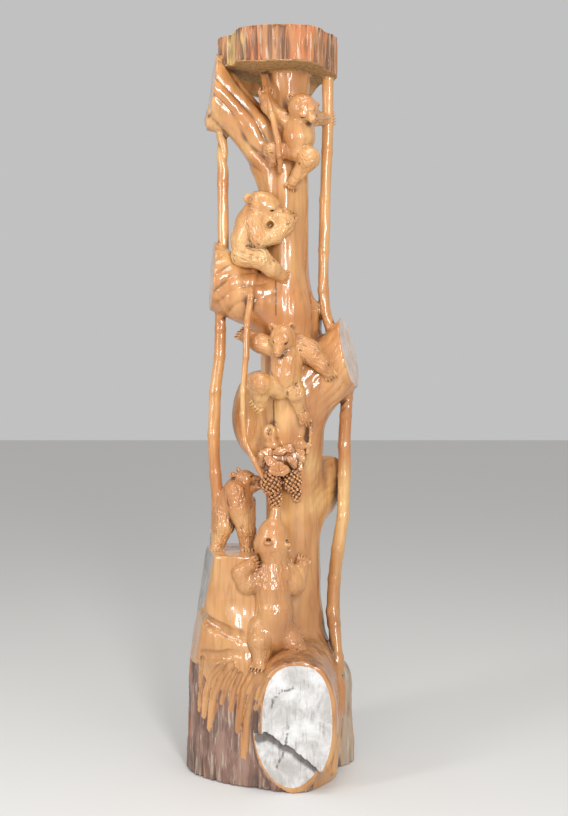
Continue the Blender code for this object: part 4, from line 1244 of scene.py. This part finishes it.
def varnished_wood():
    n = Nodes("varnished_wood_finish")
    place = n.add("ShaderNodeTexCoord").outputs["Object"]
    side, _, height_up = n.add("ShaderNodeSeparateXYZ", Vector=place).outputs
    grain = n.grained(place, 0.1, 95.0, 7.0, 0.62)
    figure = n.grained(place, 0.1, 26.0, 4.0, 0.55, 1.4)
    bark_tone = n.grained(place, 0.22, 38.0, 6.0, 0.62)
    streaks = n.grained(place, 0.1, 120.0, 5.0, 0.6)
    crevice_shade = n.attribute("crevice_shade")
    wood = wood_colour(n, place, height_up, grain, figure, crevice_shade)
    bark = bark_colour(n, place, side, height_up, bark_tone, streaks, crevice_shade)

    ragged = n.times(n.math("SUBTRACT", n.noise(place, 120.0, 4.0), 0.5), 0.01)
    bark_share = n.ramp(n.plus(n.attribute("bark"), ragged), -0.0008, 0.001)
    cut_share = n.ramp(n.plus(n.attribute("cut"), n.times(ragged, 0.25)), -0.0004, 0.0004)
    shown = n.mix(cut_share, n.mix(bark_share, wood, bark), sawn_colour(n, place, height_up))
    # The dark attribute: cracks, painted shade on the torn step, and the weathered ledge cut
    shown = n.tinted(shown, ((n.attribute("dark"), 0.85, "3A2A20"),))
    normal = n.add("ShaderNodeNewGeometry").outputs["Normal"]
    up = n.add("ShaderNodeSeparateXYZ", Vector=normal).outputs["Z"]
    under = n.times(n.ramp(n.times(up, -1.0), 0.6, 0.8), n.ramp(height_up, 2.03, 2.05))
    olive = n.mix(n.ramp(grain, 0.35, 0.65), colour("C39C64"), colour("98744A"))
    n.put(n.surface.inputs["Base Color"], n.mix(under, shown, olive))
    add_varnish(n, grain, bark_share, cut_share, under)
    add_bump(n, grain, figure, bark_tone, streaks, bark_share)
    return n.material


# Camera, light and floor


CAMERA_PLACE = (0.033, -3.73, 1.226)
SENSOR_WIDTH, FOCAL_LENGTH = 36.0, 54.1
FRAME_SHIFT = -0.0588
FLOOR_WIDTH = 30
SOFTBOXES = (  # name, place, width and height, power in watts
    ("key", (0.85, -4.0, 2.1), (0.5, 1.8), 105),
    ("side", (-2.6, -2.2, 1.9), (0.6, 2.0), 40),
    ("overhead", (0.2, -0.9, 4.2), (1.5, 1.5), 40),
)
LIGHT_TARGET = (0, 0, 1.1)


def make_camera():
    """The photograph's view: level, at 0.56 of the height and 1.7 heights away, its frame shifted down."""
    data = bpy.data.cameras.new("camera")
    data.sensor_width = SENSOR_WIDTH
    data.lens = FOCAL_LENGTH
    data.shift_y = FRAME_SHIFT
    camera = bpy.data.objects.new("camera", data)
    bpy.context.scene.collection.objects.link(camera)
    camera.location = CAMERA_PLACE
    camera.rotation_euler = (math.radians(90), 0, 0)
    bpy.context.scene.camera = camera


def add_softbox(name, location, size, power):
    data = bpy.data.lights.new(name, "AREA")
    data.shape = "RECTANGLE"
    data.size, data.size_y = size
    data.energy = power
    light = bpy.data.objects.new(name, data)
    bpy.context.scene.collection.objects.link(light)
    light.location = location
    light.rotation_euler = (Vector(LIGHT_TARGET) - Vector(location)).to_track_quat("-Z", "Y").to_euler()


def make_studio():
    world = bpy.data.worlds.new("studio")
    world.use_nodes = True
    background = world.node_tree.nodes["Background"].inputs
    background["Color"].default_value = (0.86, 0.86, 0.86, 1)
    background["Strength"].default_value = 0.62
    bpy.context.scene.world = world
    for softbox in SOFTBOXES:
        add_softbox(*softbox)
    bpy.ops.mesh.primitive_plane_add(size=FLOOR_WIDTH)
    floor = bpy.context.object
    floor.name = "floor"
    paint = bpy.data.materials.new("floor_paint")
    paint.use_nodes = True
    surface = paint.node_tree.nodes["Principled BSDF"].inputs
    surface["Base Color"].default_value = (0.74, 0.73, 0.71, 1)
    surface["Roughness"].default_value = 0.8
    floor.data.materials.append(paint)
    bpy.context.scene.view_settings.view_transform = "Standard"


SIDE_FILLS = (  # place, radii, and whether it is a hole
    ((0.3, 0.08, 0.36), (0.15, 0.08, 0.14), False),
    ((0.4, 0.1, 0.36), (0.09, 0.09, 0.13), False),
    ((0.25, 0.13, 0.33), (0.13, 0.1, 0.13), False),
    ((0.26, 0.24, 0.306), (0.036, 0.085, 0.036), True),
)
BEARS = {  # name: hips, height, joints, face, paws, fills and the size of a voxel
    "bear_on_the_foot": (
        on_trunk(0.422, -0.063, 0.046), 0.46, FLOOR_BEAR, FLOOR_FACE, FLOOR_PAWS, (), 0.002),
    "bear_on_the_ledge": ((-0.146, -0.01, 0.764), 0.25, LEDGE_BEAR, LEDGE_FACE, LEDGE_PAWS, (), 0.0015),
    "bear_in_the_middle": (
        on_trunk(1.144, -0.032, 0.024), 0.3, MIDDLE_BEAR, MIDDLE_FACE, MIDDLE_PAWS, (), 0.0017),
    "bear_at_the_side": (
        on_trunk(1.54, -0.111, -0.022), 0.28, SIDE_BEAR, SIDE_FACE, SIDE_PAWS, SIDE_FILLS, 0.0016),
    "bear_at_the_top": (on_trunk(1.848, 0.036, 0.035), 0.29, TOP_BEAR, TOP_FACE, TOP_PAWS, (), 0.0016),
}

make_camera()
make_studio()
WOOD = varnished_wood()
make_log(WOOD)
for bear, (hips, *rest) in BEARS.items():
    make_bear(bear, np.array(hips), *rest, WOOD)
make_fruit(WOOD)
